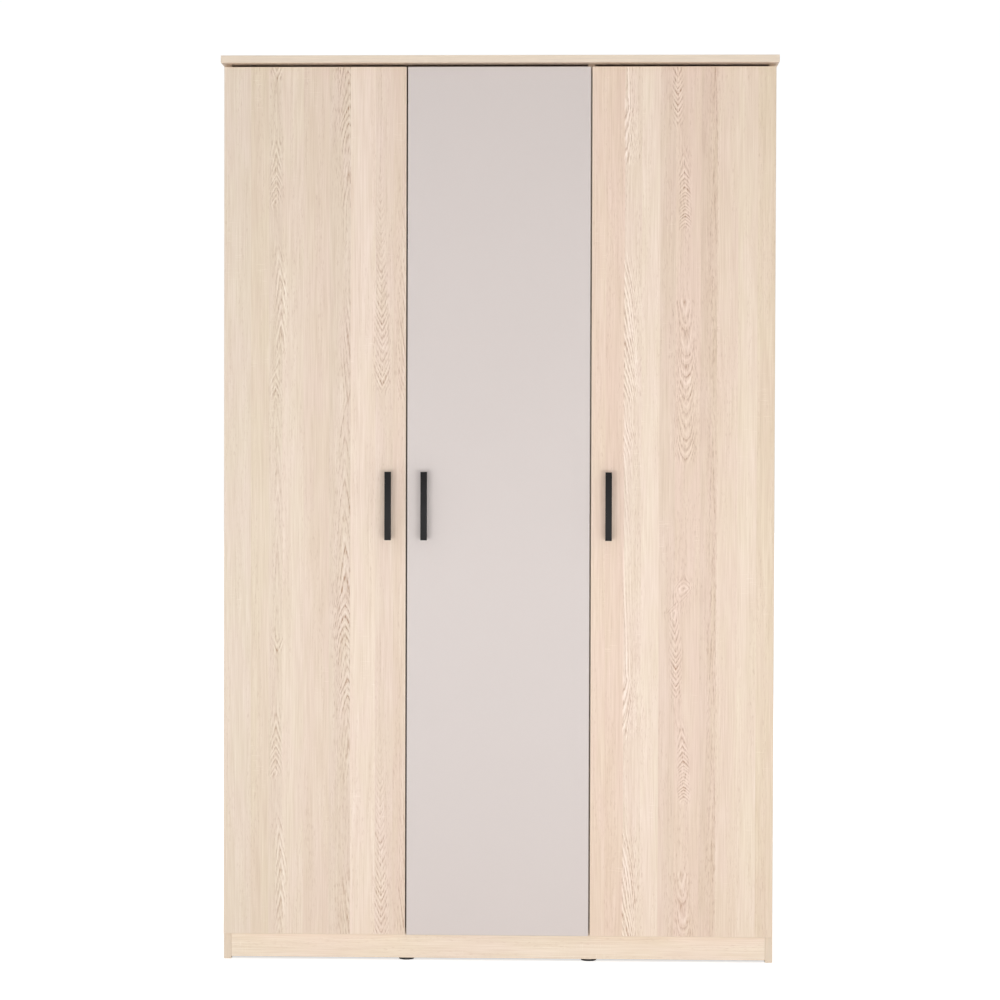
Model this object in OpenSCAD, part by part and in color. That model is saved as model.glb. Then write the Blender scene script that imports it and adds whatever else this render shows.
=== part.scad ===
// Three-door wardrobe in melamine-faced board.
// Frame: +X to the right, +Y to the back, +Z up. The origin is on the floor, under the middle of
// the whole object, handles included. Millimetres.

/* [Carcass] */
// Width over the two side panels
body_w = 1200; // [960:1:1440]
// Height from the floor to the top face of the top board
body_h = 1970; // [1640:1:2360]
// Depth of the side panels, front edge to rear edge
body_d = 540; // [450:1:650]
// Thickness of every carcass board
board_t = 16; // [15:0.5:20]
// How far the top board stands out past each side panel
top_side_overhang = 4; // [0:1:20]
// How far the top board stands out past the doors' front faces
top_front_overhang = 12; // [0:1:20]
// Height of the bottom board's underside above the floor
plinth_top = 56; // [45:1:120]
// Air under the plinths and the floor bearers, which the glides fill
floor_gap = 5; // [2:0.5:6]
// How far the rear plinth stands in from the panels' rear edges, for a skirting board
rear_plinth_inset = 20; // [0:1:40]
// Thickness of the hardboard back
back_t = 3; // [2.5:0.5:5]
// How far the back stops short of the carcass's outer faces
back_margin = 2; // [1:0.5:6]
// Diameter of the glides
glide_d = 34; // [20:1:45]
// How far the front glides stand back from the plinth's face
glide_setback = 2; // [0:1:10]

/* [Doors] */
// Thickness of a door
door_t = 16; // [15:0.5:20]
// Air between two doors
door_gap = 3; // [2.5:0.5:5]
// How far the outer doors stop short of the side panels' outer faces
door_reveal = 2; // [0:0.5:4]
// Air between the doors and the carcass's front edges
door_air = 2; // [1.8:0.1:3]
// Air between the doors' upper edges and the top board
door_top_gap = 7; // [2:0.5:8]
// Height of the doors' lower edges above the bottom board's underside
door_foot_gap = 3; // [1:0.5:6]

/* [Handles] */
// How far the handle bar runs on past each screw
handle_end = 10; // [6:1:30]
// Width of the handle bar
handle_w = 14; // [8:1:20]
// Thickness of the handle bar
handle_bar_t = 8; // [6:0.5:12]
// How far the handle stands out from the door
handle_out = 30; // [25:1:40]
// Distance between the two handle screws
handle_pitch = 128; // [96:32:192]
// Side of the handle's square posts
handle_post = 10; // [8:0.5:12]
// Distance of the handle's middle from the door's free edge
handle_edge = 37.5; // [30:0.5:60]
// Height of the handle's middle above the floor
handle_z = 995; // [900:1:1100]

/* [Hinges] */
// Number of hinges on a door
hinge_count = 4; // [3:1:5]
// Distance of the end hinges from the door's ends
hinge_inset = 100; // [90:1:130]
// Diameter of the hinge cup
cup_d = 35; // [35:1:42]
// Depth of the hinge cup
cup_depth = 11.5; // [11:0.5:12]
// Distance of the cup's edge from the door's hinge edge
cup_edge = 5; // [4:0.5:6]
// Wall of the hinge cup
cup_wall = 0.8; // [0.6:0.1:1]
// Distance of the mounting plate's screw line from the carcass's front edge
plate_line = 37; // [37:1:45]

/* [Inside] */
// Clear height above the hat shelf
hat_space = 300; // [250:1:400]
// How far the shelves stand back from the carcass's front edge
shelf_setback = 20; // [10:1:60]
// Distance from the hat shelf's underside to the middle of the hanging rail
rail_drop = 50; // [40:1:80]
// Width of the oval hanging rail's section
rail_thin = 15; // [12:1:20]
// Height of the oval hanging rail's section
rail_tall = 30; // [25:1:35]
// Wall of the hanging rail
rail_wall = 1; // [0.8:0.1:2]
// Side clearance of a loose shelf
shelf_play = 0.5; // [0.3:0.1:1]

/* [Hidden] */
$fn = 48;

ash = "#ead9c4";
grey = "#d3ccc6";
hardboard = "#a8845c";
black = "#1c1c1e";
steel = "#b9bcc0";
zinc = "#9a9da2";
beech = "#d9b98a";
white = "#eceae6";

// Clearance between a fitting and its hole, how far a cutter runs past a face, and how much
// deeper a blind hole is than what goes into it
fit = 0.1;
past = 1;
drill_over = 0.5;

// Places along Y, from the handles' front to the back's joint strip
strip_flange_t = 1;
overall_d = handle_out + door_t + door_air + body_d + back_t + strip_flange_t;
front_y = handle_out + door_t + door_air - overall_d / 2;
rear_y = front_y + body_d;
door_back_y = front_y - door_air;
door_face_y = door_back_y - door_t;

// Places along Z
floor_z = plinth_top + board_t;
roof_z = body_h - board_t;
door_low_z = plinth_top + door_foot_gap;
door_high_z = roof_z - door_top_gap;
door_h = door_high_z - door_low_z;

// Places along X. The partition stands behind the gap between the second and third doors.
side_x = body_w / 2 - board_t;
door_w = (body_w - 2 * door_reveal - 2 * door_gap) / 3;
third_x = door_w / 2 + door_gap / 2;
partition_left = third_x - board_t / 2;
partition_right = third_x + board_t / 2;

// Shelves
hat_shelf_z = roof_z - hat_space - board_t;
shelf_rear_gap = 5;
shelf_d = body_d - shelf_setback - shelf_rear_gap;
fixed_shelf_index = 1;
loose_indices = [0, 2, 3];
shelf_count = len(loose_indices) + 1;
bay_step = (roof_z - floor_z + board_t) / (shelf_count + 1);
function shelf_z(i) = floor_z + (i + 1) * bay_step - board_t;
pin_inset = 50;
pin_d = 5;
pin_sunk = 8;
pin_out = 9;
pin_w = 8;
pin_pitch = 32;
pin_rows_y = [front_y + shelf_setback + pin_inset, rear_y - shelf_rear_gap - pin_inset];

// Cam fittings: lock diameter and depth, the driver slot in its face, distance from the joint,
// bolt and thread sizes, and the stretches along the bolt that its head and neck take
cam_d = 15;
cam_h = 12;
cam_slot = [9, 1.6, 2.4];
cam_reach = 34;
bolt_d = 6;
bolt_head_run = [0.6, 3];
bolt_neck_end = 7;
bolt_neck_d = 3.6;
thread_d = 5;
thread_l = 10;
dowel_d = 8;
dowel_in_edge = 20;
dowel_in_face = 10;
joint_inset = 60;
dowel_step = 64;
joint_ys = [front_y + joint_inset, rear_y - joint_inset];
dowel_ys = [front_y + joint_inset + dowel_step, rear_y - joint_inset - dowel_step];
shelf_joint_inset = joint_inset + shelf_setback;
shelf_joint_ys = [front_y + shelf_joint_inset, rear_y - shelf_joint_inset];
shelf_dowel_ys = [for (i = [0, 1]) shelf_joint_ys[i] + (i == 0 ? 1 : -1) * dowel_step];

// Cam joints as [middle of the lock's face, way the face looks, way the bolt runs]
roof_cams = [
    for (y = joint_ys, side = [
        [-side_x, 1], [side_x, -1], [partition_right, 1]
    ]) [[side[0], y, roof_z - cam_reach], [side[1], 0, 0], [0, 0, 1]]
];
floor_cams = [
    for (y = joint_ys, s = [-1, 1])
        [[s * (side_x - cam_reach), y, plinth_top], [0, 0, -1], [s, 0, 0]]
];
partition_cams = [
    for (y = joint_ys) [[partition_right, y, floor_z + cam_reach], [1, 0, 0], [0, 0, -1]]
];
hat_cams = [
    for (y = shelf_joint_ys, side = [[-side_x, 1], [partition_left, -1]])
        [[side[0] + side[1] * cam_reach, y, hat_shelf_z], [0, 0, -1], [-side[1], 0, 0]]
];
fixed_shelf_cams = [
    for (y = shelf_joint_ys, side = [[partition_right, 1], [side_x, -1]])
        [[side[0] + side[1] * cam_reach, y, shelf_z(fixed_shelf_index)], [0, 0, -1],
         [-side[1], 0, 0]]
];
plinth_mid_z = (floor_gap + plinth_top) / 2;
rear_plinth_y = rear_y - rear_plinth_inset - board_t;
front_plinth_cams = [
    for (s = [-1, 1])
        [[s * (side_x - cam_reach), front_y + board_t, plinth_mid_z], [0, 1, 0], [s, 0, 0]]
];
rear_plinth_cams = [
    for (s = [-1, 1])
        [[s * (side_x - cam_reach), rear_plinth_y, plinth_mid_z], [0, -1, 0], [s, 0, 0]]
];
all_cams = concat(
    roof_cams, floor_cams, partition_cams, hat_cams, fixed_shelf_cams,
    front_plinth_cams, rear_plinth_cams
);

// Dowels as [point on the joint, way from the edge into the face]
roof_dowels = [
    for (y = dowel_ys, x = [-side_x - board_t / 2, side_x + board_t / 2, third_x])
        [[x, y, roof_z], [0, 0, 1]]
];
floor_dowels = [
    for (y = dowel_ys, s = [-1, 1]) [[s * side_x, y, plinth_top + board_t / 2], [s, 0, 0]]
];
partition_dowels = [for (y = dowel_ys) [[third_x, y, floor_z], [0, 0, -1]]];
hat_dowels = [
    for (y = shelf_dowel_ys, side = [[-side_x, -1], [partition_left, 1]])
        [[side[0], y, hat_shelf_z + board_t / 2], [side[1], 0, 0]]
];
bearer_dowels = [
    for (s = [-1, 1], end = [[front_y + board_t, -1], [rear_plinth_y, 1]])
        [[s * third_x, end[0], plinth_mid_z], [0, end[1], 0]]
];
all_dowels = concat(roof_dowels, floor_dowels, partition_dowels, hat_dowels, bearer_dowels);

// Concealed hinge, drawn with x from the door's hinge edge towards its free edge, y from the
// carcass's front edge inwards, and z up. The door turns about a point 5.86 in from its hinge
// edge and 14.46 ahead of the carcass's front edge. Meanwhile the link turns the other way about
// its pin in the arm's nose, by 0.43 of the door's angle, and its far end stays in the cup.
cup_x = cup_edge + cup_d / 2;
flange_t = 1.2;
flange_lap = 1.5;
flange_r = cup_d / 2 + flange_lap;
flange_w = 20;
flange_l = 62;
cup_screw_pitch = 48;
cup_screw_offset = 6;
cup_screw_x = cup_x + cup_screw_offset;
cup_screw_d = 3.5;
cup_screw_l = 12;
cup_screw_head_d = 6.8;
screw_head_t = 0.8;
nose_from_cup = [7.2, -7.2];
nose = [cup_x + nose_from_cup[0], nose_from_cup[1] - door_air];
nose_r = 3;
nose_wall = 0.8;

// The arm: its width, wall and end, its outer and inner sides' heights over the panel's face, and
// the depths between which those sides and the hollow's bend from the nose to the straight run
arm_w = 13;
arm_wall = 1.1;
arm_end = 58;
arm_top = 17.5;
arm_low = 4;
arm_top_bend = [-1, 6];
arm_low_bend = [-3, 14];
hollow_top_bend = [-1, 6.4];
hollow_low_bend = [-4, 12];

// The link: its pin, eye and knuckle diameters, width, thickness and length, its angle about the
// nose, and the step of its bent tip
link_pin_d = 2.5;
link_eye_d = 5;
link_knuckle_d = 3;
link_w = 8;
link_t = 2;
link_l = 18;
link_turn = 171.3;
link_bend = [4.2, -3];

// The mounting plate and its screws
plate_wing_t = 2;
plate_wing_y = 14;
plate_wing_z = 44;
plate_ridge = [12, 32, arm_w - 2 * arm_wall];
plate_screw_pitch = 32;
plate_screw_d = 4.8;
plate_screw_l = 10;
plate_screw_head = [7, 1.5];
arm_screw_y = 50;
arm_screw_d = 4;
arm_screw_head = [7, 1.2];

hinge_zs = [
    for (i = [0 : hinge_count - 1])
        door_low_z + hinge_inset + i * (door_h - 2 * hinge_inset) / (hinge_count - 1)
];

// Doors as [hinge edge, way from the hinge edge to the free edge, carcass face behind it]
left_hang = [-body_w / 2 + door_reveal, 1, -side_x];
centre_hang = [third_x - door_gap / 2, -1, partition_left];
right_hang = [body_w / 2 - door_reveal, -1, side_x];
all_hangs = [left_hang, centre_hang, right_hang];
function support(hang) = (hang[2] - hang[0]) * hang[1];

// Handles
handle_screw_d = 4;
handle_screw_sunk = 10;
handle_screw_head = [8, 2];
handle_l = handle_pitch + 2 * handle_end;
function handle_x(hang) = hang[0] + hang[1] * (door_w - handle_edge);

// Rail sockets
socket_wall = 2;
socket_depth = 12;
socket_base = 2.5;
socket_ear = 9;
socket_screw_d = 3.5;
socket_screw_l = 11;
socket_screw_head = [7, 1.4];
rail_z = hat_shelf_z - rail_drop;
rail_y = front_y + body_d / 2;

// Wall brackets
bracket_t = 2;
bracket_leg = 30;
bracket_w = 40;
bracket_inset = 84;
bracket_x = side_x - bracket_inset;
bracket_hole_d = 6;
bracket_screw_d = 4;
bracket_screw_l = 12;
bracket_screw_dx = 10;
bracket_screw_head = [8, 1.8];
wall_hole_drop = 18;
wall_hole_z = roof_z - wall_hole_drop;

// Bumpers
bumper_d = 6;
bumper_air = 0.2;
bumper_t = door_air - bumper_air;
bumper_inset = 22;

// Back
strip_web = 1.2;
strip_flange_w = 14;
back_low_z = plinth_top + back_margin;
back_high_z = body_h - back_margin;

// Turns +Z to one of the six axis directions
function turn(d) = d[0] != 0 ? [0, 90 * d[0], 0] : d[1] != 0 ? [-90 * d[1], 0, 0]
    : d[2] > 0 ? [0, 0, 0] : [180, 0, 0];

module rod(at, way, d, l, back = 0) {
    translate(at) rotate(turn(way)) translate([0, 0, -back]) cylinder(d = d, h = l + back);
}

module board(low, size) {
    translate(low) cube(size);
}

// Cam fittings

module cam_cuts(cams) {
    for (c = cams) {
        rod(c[0], -c[1], cam_d + 2 * fit, cam_h + fit, past);
        rod(c[0] - c[1] * board_t / 2, c[2], bolt_d + 4 * fit, cam_reach + fit);
    }
}

module bolt_cuts(cams) {
    for (c = cams)
        rod(c[0] - c[1] * board_t / 2 + c[2] * cam_reach, c[2], thread_d + 2 * fit,
            thread_l + fit, past);
}

module cam_locks() {
    color(zinc) for (c = all_cams) difference() {
        rod(c[0], -c[1], cam_d, cam_h);
        rod(c[0] - c[1] * board_t / 2, c[2], bolt_d + 4 * fit, cam_d);
        for (a = [45, 135]) translate(c[0]) rotate(turn(c[1])) rotate([0, 0, a])
            cube(cam_slot, center = true);
    }
}

module cam_bolts() {
    color(steel) for (c = all_cams) translate(c[0] - c[1] * board_t / 2) rotate(turn(c[2])) {
        translate([0, 0, bolt_head_run[0]])
            cylinder(d = bolt_d, h = bolt_head_run[1] - bolt_head_run[0]);
        translate([0, 0, bolt_head_run[1]])
            cylinder(d = bolt_neck_d, h = bolt_neck_end - bolt_head_run[1]);
        translate([0, 0, bolt_neck_end]) cylinder(d = bolt_d, h = cam_reach - bolt_neck_end);
        translate([0, 0, cam_reach]) cylinder(d = thread_d, h = thread_l);
    }
}

// Dowels

module dowel_cuts(dowels) {
    for (d = dowels)
        rod(d[0], d[1], dowel_d + 2 * fit, dowel_in_face + drill_over,
            dowel_in_edge + drill_over);
}

module dowels() {
    color(beech) for (d = all_dowels) rod(d[0], d[1], dowel_d, dowel_in_face, dowel_in_edge);
}

// Screw holes that the hinges' mounting plates and the rail sockets need in the uprights

module plate_screw_cuts(hang) {
    for (z = hinge_zs, s = [-1, 1])
        rod([hang[2], front_y + plate_line, z + s * plate_screw_pitch / 2], [-hang[1], 0, 0],
            plate_screw_d + fit, plate_screw_l + drill_over, past);
}

module socket_screw_cuts(face_x, way) {
    for (s = [-1, 1])
        rod([face_x, rail_y, rail_z + s * (rail_tall / 2 + socket_ear / 2 + socket_wall)],
            [-way, 0, 0], socket_screw_d + fit, socket_screw_l + drill_over, past);
}

module pin_cuts(face_x, way) {
    for (i = loose_indices, y = pin_rows_y, dz = [-pin_pitch, 0, pin_pitch])
        rod([face_x, y, shelf_z(i) - pin_d / 2 + dz], [-way, 0, 0], pin_d + fit,
            pin_sunk + drill_over, past);
}

// Carcass boards

module top_panel() {
    top_front_y = door_face_y - top_front_overhang;
    color(ash) difference() {
        board([-body_w / 2 - top_side_overhang, top_front_y, roof_z],
              [body_w + 2 * top_side_overhang, rear_y - top_front_y, board_t]);
        bolt_cuts(roof_cams);
        dowel_cuts(roof_dowels);
        bracket_screw_cuts();
    }
}

module side_panel(s) {
    hang = s < 0 ? left_hang : right_hang;
    color(ash) difference() {
        board([s < 0 ? -body_w / 2 : side_x, front_y, 0], [board_t, body_d, roof_z]);
        cam_cuts([for (c = roof_cams) if (c[0][0] == s * side_x) c]);
        dowel_cuts([for (d = roof_dowels) if (d[0][0] * s > side_x) d]);
        bolt_cuts([for (c = floor_cams) if (c[2][0] == s) c]);
        dowel_cuts([for (d = floor_dowels) if (d[1][0] == s) d]);
        bolt_cuts([for (c = concat(front_plinth_cams, rear_plinth_cams)) if (c[2][0] == s) c]);
        plate_screw_cuts(hang);
        if (s < 0) {
            bolt_cuts([for (c = hat_cams) if (c[2][0] < 0) c]);
            dowel_cuts([for (d = hat_dowels) if (d[1][0] < 0) d]);
            socket_screw_cuts(-side_x, 1);
        } else {
            bolt_cuts([for (c = fixed_shelf_cams) if (c[2][0] > 0) c]);
            pin_cuts(side_x, -1);
        }
    }
}

module left_side_panel() {
    side_panel(-1);
}

module right_side_panel() {
    side_panel(1);
}

module partition_panel() {
    color(ash) difference() {
        board([partition_left, front_y, floor_z], [board_t, body_d, roof_z - floor_z]);
        cam_cuts([for (c = roof_cams) if (c[0][0] == partition_right) c]);
        cam_cuts(partition_cams);
        dowel_cuts([for (d = roof_dowels) if (d[0][0] == third_x) d]);
        dowel_cuts(partition_dowels);
        plate_screw_cuts(centre_hang);
        bolt_cuts([for (c = hat_cams) if (c[2][0] > 0) c]);
        dowel_cuts([for (d = hat_dowels) if (d[1][0] > 0) d]);
        socket_screw_cuts(partition_left, -1);
        bolt_cuts([for (c = fixed_shelf_cams) if (c[2][0] < 0) c]);
        pin_cuts(partition_right, 1);
    }
}

module bottom_panel() {
    color(ash) difference() {
        board([-side_x, front_y, plinth_top], [2 * side_x, body_d, board_t]);
        cam_cuts(floor_cams);
        dowel_cuts(floor_dowels);
        bolt_cuts(partition_cams);
        dowel_cuts(partition_dowels);
    }
}

module front_plinth() {
    color(ash) difference() {
        board([-side_x, front_y, floor_gap], [2 * side_x, board_t, plinth_top - floor_gap]);
        cam_cuts(front_plinth_cams);
        dowel_cuts([for (d = bearer_dowels) if (d[1][1] < 0) d]);
    }
}

module rear_plinth() {
    color(ash) difference() {
        board([-side_x, rear_plinth_y, floor_gap],
              [2 * side_x, board_t, plinth_top - floor_gap]);
        cam_cuts(rear_plinth_cams);
        dowel_cuts([for (d = bearer_dowels) if (d[1][1] > 0) d]);
    }
}

module floor_bearers() {
    low_y = front_y + board_t;
    color(ash) for (s = [-1, 1]) difference() {
        board([s * third_x - board_t / 2, low_y, floor_gap],
              [board_t, rear_plinth_y - low_y, plinth_top - floor_gap]);
        dowel_cuts([for (d = bearer_dowels) if (d[0][0] == s * third_x) d]);
    }
}

module glides() {
    glide_ys = [front_y + glide_setback + glide_d / 2, rear_plinth_y - glide_d / 2];
    color(black) for (s = [-1, 1], y = glide_ys)
        rod([s * third_x, y, 0], [0, 0, 1], glide_d, floor_gap);
}

// Back

module back_section(x0, x1) {
    color(hardboard) difference() {
        board([x0, rear_y, back_low_z], [x1 - x0, back_t, back_high_z - back_low_z]);
        for (s = [-1, 1])
            rod([s * bracket_x, rear_y, wall_hole_z], [0, 1, 0], bracket_hole_d,
                back_t + past, past);
    }
}

module back_panel_left() {
    back_section(-body_w / 2 + back_margin, -third_x - strip_web / 2 - fit);
}

module back_panel_centre() {
    back_section(-third_x + strip_web / 2 + fit, third_x - fit);
}

module back_panel_right() {
    back_section(third_x + fit, body_w / 2 - back_margin);
}

module back_joint_strip() {
    run = roof_z - floor_z - 2 * fit;
    color(white) translate([-third_x, rear_y - strip_flange_t, floor_z + fit]) {
        for (y = [0, strip_flange_t + back_t])
            board([-strip_flange_w / 2, y, 0], [strip_flange_w, strip_flange_t, run]);
        board([-strip_web / 2, 0, 0], [strip_web, 2 * strip_flange_t + back_t, run]);
    }
}

// Inside

module hat_shelf() {
    color(ash) difference() {
        board([-side_x, front_y + shelf_setback, hat_shelf_z],
              [partition_left + side_x, shelf_d, board_t]);
        cam_cuts(hat_cams);
        dowel_cuts(hat_dowels);
    }
}

module oval(thin, tall, l) {
    linear_extrude(l) {
        for (s = [-1, 1]) translate([0, s * (tall - thin) / 2]) circle(d = thin);
        square([thin, tall - thin], center = true);
    }
}

module along_x(x) {
    translate([x, rail_y, rail_z]) rotate([90, 0, 90]) children();
}

module hanging_rail() {
    start = -side_x + socket_base + fit;
    l = partition_left - socket_base - fit - start;
    color(steel) difference() {
        along_x(start) oval(rail_thin, rail_tall, l);
        along_x(start - past)
            oval(rail_thin - 2 * rail_wall, rail_tall - 2 * rail_wall, l + 2 * past);
    }
}

module rail_socket() {
    pocket = [rail_thin + 4 * fit, rail_tall + 4 * fit];
    ear_z = rail_tall / 2 + socket_wall + socket_ear / 2;
    difference() {
        union() {
            oval(pocket[0] + 2 * socket_wall, pocket[1] + 2 * socket_wall, socket_depth);
            linear_extrude(socket_base) {
                for (s = [-1, 1]) translate([0, s * ear_z]) circle(d = socket_ear);
                square([socket_ear, 2 * ear_z], center = true);
            }
        }
        translate([0, 0, socket_base]) oval(pocket[0], pocket[1], socket_depth);
        for (s = [-1, 1])
            translate([0, s * ear_z, -past]) cylinder(d = socket_screw_d + fit, h = 2 * socket_depth);
    }
}

module at_sockets() {
    along_x(-side_x) children();
    translate([partition_left, 0, 0]) mirror([1, 0, 0]) along_x(0) children();
}

module rail_sockets() {
    color(steel) at_sockets() rail_socket();
}

module rail_socket_screws() {
    ear_z = rail_tall / 2 + socket_wall + socket_ear / 2;
    color(steel) at_sockets() for (s = [-1, 1]) translate([0, s * ear_z, 0]) {
        translate([0, 0, -socket_screw_l])
            cylinder(d = socket_screw_d - fit, h = socket_screw_l + socket_base);
        translate([0, 0, socket_base])
            cylinder(d = socket_screw_head[0], h = socket_screw_head[1]);
    }
}

module fixed_shelf() {
    color(ash) difference() {
        board([partition_right, front_y + shelf_setback, shelf_z(fixed_shelf_index)],
              [side_x - partition_right, shelf_d, board_t]);
        cam_cuts(fixed_shelf_cams);
    }
}

module loose_shelf(i) {
    color(ash) board([partition_right + shelf_play, front_y + shelf_setback, shelf_z(i)],
                     [side_x - partition_right - 2 * shelf_play, shelf_d, board_t]);
}

module lower_shelf() {
    loose_shelf(loose_indices[0]);
}

module middle_shelf() {
    loose_shelf(loose_indices[1]);
}

module upper_shelf() {
    loose_shelf(loose_indices[2]);
}

module shelf_pins() {
    color(steel)
        for (i = loose_indices, y = pin_rows_y, side = [[partition_right, 1], [side_x, -1]])
            translate([side[0], y, shelf_z(i)]) {
                rod([0, 0, -pin_d / 2], [-side[1], 0, 0], pin_d - fit, pin_sunk);
                translate([side[1] > 0 ? 0 : -pin_out, -pin_w / 2, -pin_d])
                    cube([pin_out, pin_w, pin_d]);
            }
}

// Wall brackets

module bracket_screw_cuts() {
    for (s = [-1, 1], dx = [-bracket_screw_dx, bracket_screw_dx])
        rod([s * bracket_x + dx, rear_y - bracket_leg / 2, roof_z], [0, 0, 1],
            bracket_screw_d + fit, bracket_screw_l + drill_over, past);
}

module wall_brackets() {
    color(steel) for (s = [-1, 1]) translate([s * bracket_x, rear_y, roof_z]) difference() {
        union() {
            board([-bracket_w / 2, -bracket_leg, -bracket_t],
                  [bracket_w, bracket_leg, bracket_t]);
            board([-bracket_w / 2, -bracket_t, -bracket_leg],
                  [bracket_w, bracket_t, bracket_leg]);
        }
        rod([0, 0, wall_hole_z - roof_z], [0, -1, 0], bracket_hole_d, bracket_t + past, past);
        for (dx = [-bracket_screw_dx, bracket_screw_dx])
            rod([dx, -bracket_leg / 2, 0], [0, 0, -1], bracket_screw_d + 4 * fit,
                bracket_t + past, past);
    }
}

module wall_bracket_screws() {
    color(steel) for (s = [-1, 1], dx = [-bracket_screw_dx, bracket_screw_dx])
        translate([s * bracket_x + dx, rear_y - bracket_leg / 2, roof_z - bracket_t]) {
            cylinder(d = bracket_screw_d, h = bracket_t + bracket_screw_l);
            translate([0, 0, -bracket_screw_head[1]])
                cylinder(d = bracket_screw_head[0], h = bracket_screw_head[1]);
        }
}

// Bumpers on the carcass's front edges, behind the doors' free corners

module door_bumpers() {
    low_z = (door_low_z + floor_z) / 2;
    free_xs = [for (h = all_hangs) h[0] + h[1] * (door_w - bumper_inset)];
    partition_x = (third_x + door_gap / 2 + partition_right) / 2;
    color(white) {
        for (x = free_xs) rod([x, front_y, low_z], [0, -1, 0], bumper_d, bumper_t);
        for (z = [door_low_z + hinge_inset, door_high_z - hinge_inset])
            rod([partition_x, front_y, z], [0, -1, 0], bumper_d, bumper_t);
    }
}

// Hinges

module at_hinges(hang) {
    for (z = hinge_zs) translate([hang[0], front_y, z])
        if (hang[1] > 0) children();
        else mirror([1, 0, 0]) children();
}

module hinge_cup() {
    difference() {
        translate([0, -door_air, 0]) {
            rod([cup_x, 0, 0], [0, -1, 0], cup_d, cup_depth);
            rod([cup_x, 0, 0], [0, 1, 0], 2 * flange_r, flange_t);
            board([cup_screw_x - flange_w / 2, 0, -flange_l / 2], [flange_w, flange_t, flange_l]);
        }
        rod([cup_x, -door_air, 0], [0, -1, 0], cup_d - 2 * cup_wall, cup_depth - cup_wall,
            flange_t + past);
        cup_screws_at() rod([0, 0, 0], [0, -1, 0], cup_screw_d + fit, past, flange_t + past);
    }
}

module cup_screws_at() {
    for (s = [-1, 1]) translate([cup_screw_x, -door_air, s * cup_screw_pitch / 2]) children();
}

module cup_screws() {
    cup_screws_at() {
        rod([0, flange_t, 0], [0, -1, 0], cup_screw_d - fit, flange_t + cup_screw_l);
        rod([0, flange_t, 0], [0, 1, 0], cup_screw_head_d, screw_head_t);
    }
}

module arm_outline(s) {
    x1 = nose[0] + nose_r + nose_wall;
    translate(nose) circle(r = nose_r);
    polygon([
        [x1, nose[1]], [x1, arm_top_bend[0]], [s + arm_top, arm_top_bend[1]],
        [s + arm_top, arm_end], [s + arm_low, arm_end], [s + arm_low, arm_low_bend[1]],
        [nose[0] - nose_r, arm_low_bend[0]], [nose[0] - nose_r, nose[1]]
    ]);
}

module arm_hollow(s) {
    x1 = nose[0] + nose_r + nose_wall - arm_wall;
    polygon([
        [x1, nose[1] - 2 * nose_r], [x1, hollow_top_bend[0]],
        [s + arm_top - arm_wall, hollow_top_bend[1]],
        [s + arm_top - arm_wall, arm_end + past], [s - past, arm_end + past],
        [s - past, hollow_low_bend[1]], [nose[0] - 3 * nose_r, hollow_low_bend[0]],
        [nose[0] - 3 * nose_r, nose[1] - 2 * nose_r]
    ]);
}

module hinge_arm(s) {
    difference() {
        translate([0, 0, -arm_w / 2]) linear_extrude(arm_w) arm_outline(s);
        translate([0, 0, arm_wall - arm_w / 2]) linear_extrude(arm_w - 2 * arm_wall) arm_hollow(s);
        for (y = [plate_line, arm_screw_y])
            rod([s + arm_top, y, 0], [1, 0, 0], arm_screw_d + 2 * fit, past, 2 * arm_wall);
    }
    translate([nose[0], nose[1], -arm_w / 2]) cylinder(d = link_pin_d, h = arm_w);
}

module link_strip(a, b) {
    translate(a) rotate(atan2(b[1] - a[1], b[0] - a[0])) translate([0, -link_t / 2])
        square([norm(b - a), link_t]);
}

module hinge_link() {
    tip = nose + link_l * [cos(link_turn), sin(link_turn)];
    bend = tip + link_bend;
    translate([0, 0, -link_w / 2]) difference() {
        linear_extrude(link_w) {
            translate(nose) circle(d = link_eye_d);
            for (at = [bend, tip]) translate(at) circle(d = link_knuckle_d);
            link_strip(nose, bend);
            link_strip(bend, tip);
        }
        translate([nose[0], nose[1], -past])
            cylinder(d = link_pin_d + fit, h = link_w + 2 * past);
    }
}

module mounting_plate(s) {
    difference() {
        union() {
            board([s, plate_line - plate_wing_y / 2, -plate_wing_z / 2],
                  [plate_wing_t, plate_wing_y, plate_wing_z]);
            board([s, plate_line + plate_wing_y / 2 - plate_ridge[1] / 2, -plate_ridge[2] / 2],
                  plate_ridge);
        }
        for (k = [-1, 1])
            rod([s, plate_line, k * plate_screw_pitch / 2], [1, 0, 0], plate_screw_d + fit,
                2 * plate_wing_t, past);
    }
}

module hinge_screws() {
    color(steel) for (hang = all_hangs) {
        s = support(hang);
        at_hinges(hang) {
            for (k = [-1, 1]) {
                rod([s + plate_wing_t, plate_line, k * plate_screw_pitch / 2], [-1, 0, 0],
                    plate_screw_d - fit, plate_wing_t + plate_screw_l);
                rod([s + plate_wing_t, plate_line, k * plate_screw_pitch / 2], [1, 0, 0],
                    plate_screw_head[0], plate_screw_head[1]);
            }
            for (y = [plate_line, arm_screw_y]) {
                rod([s + plate_ridge[0], y, 0], [1, 0, 0], arm_screw_d,
                    arm_top - plate_ridge[0]);
                rod([s + arm_top, y, 0], [1, 0, 0], arm_screw_head[0], arm_screw_head[1]);
            }
        }
    }
}

// Doors

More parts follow.
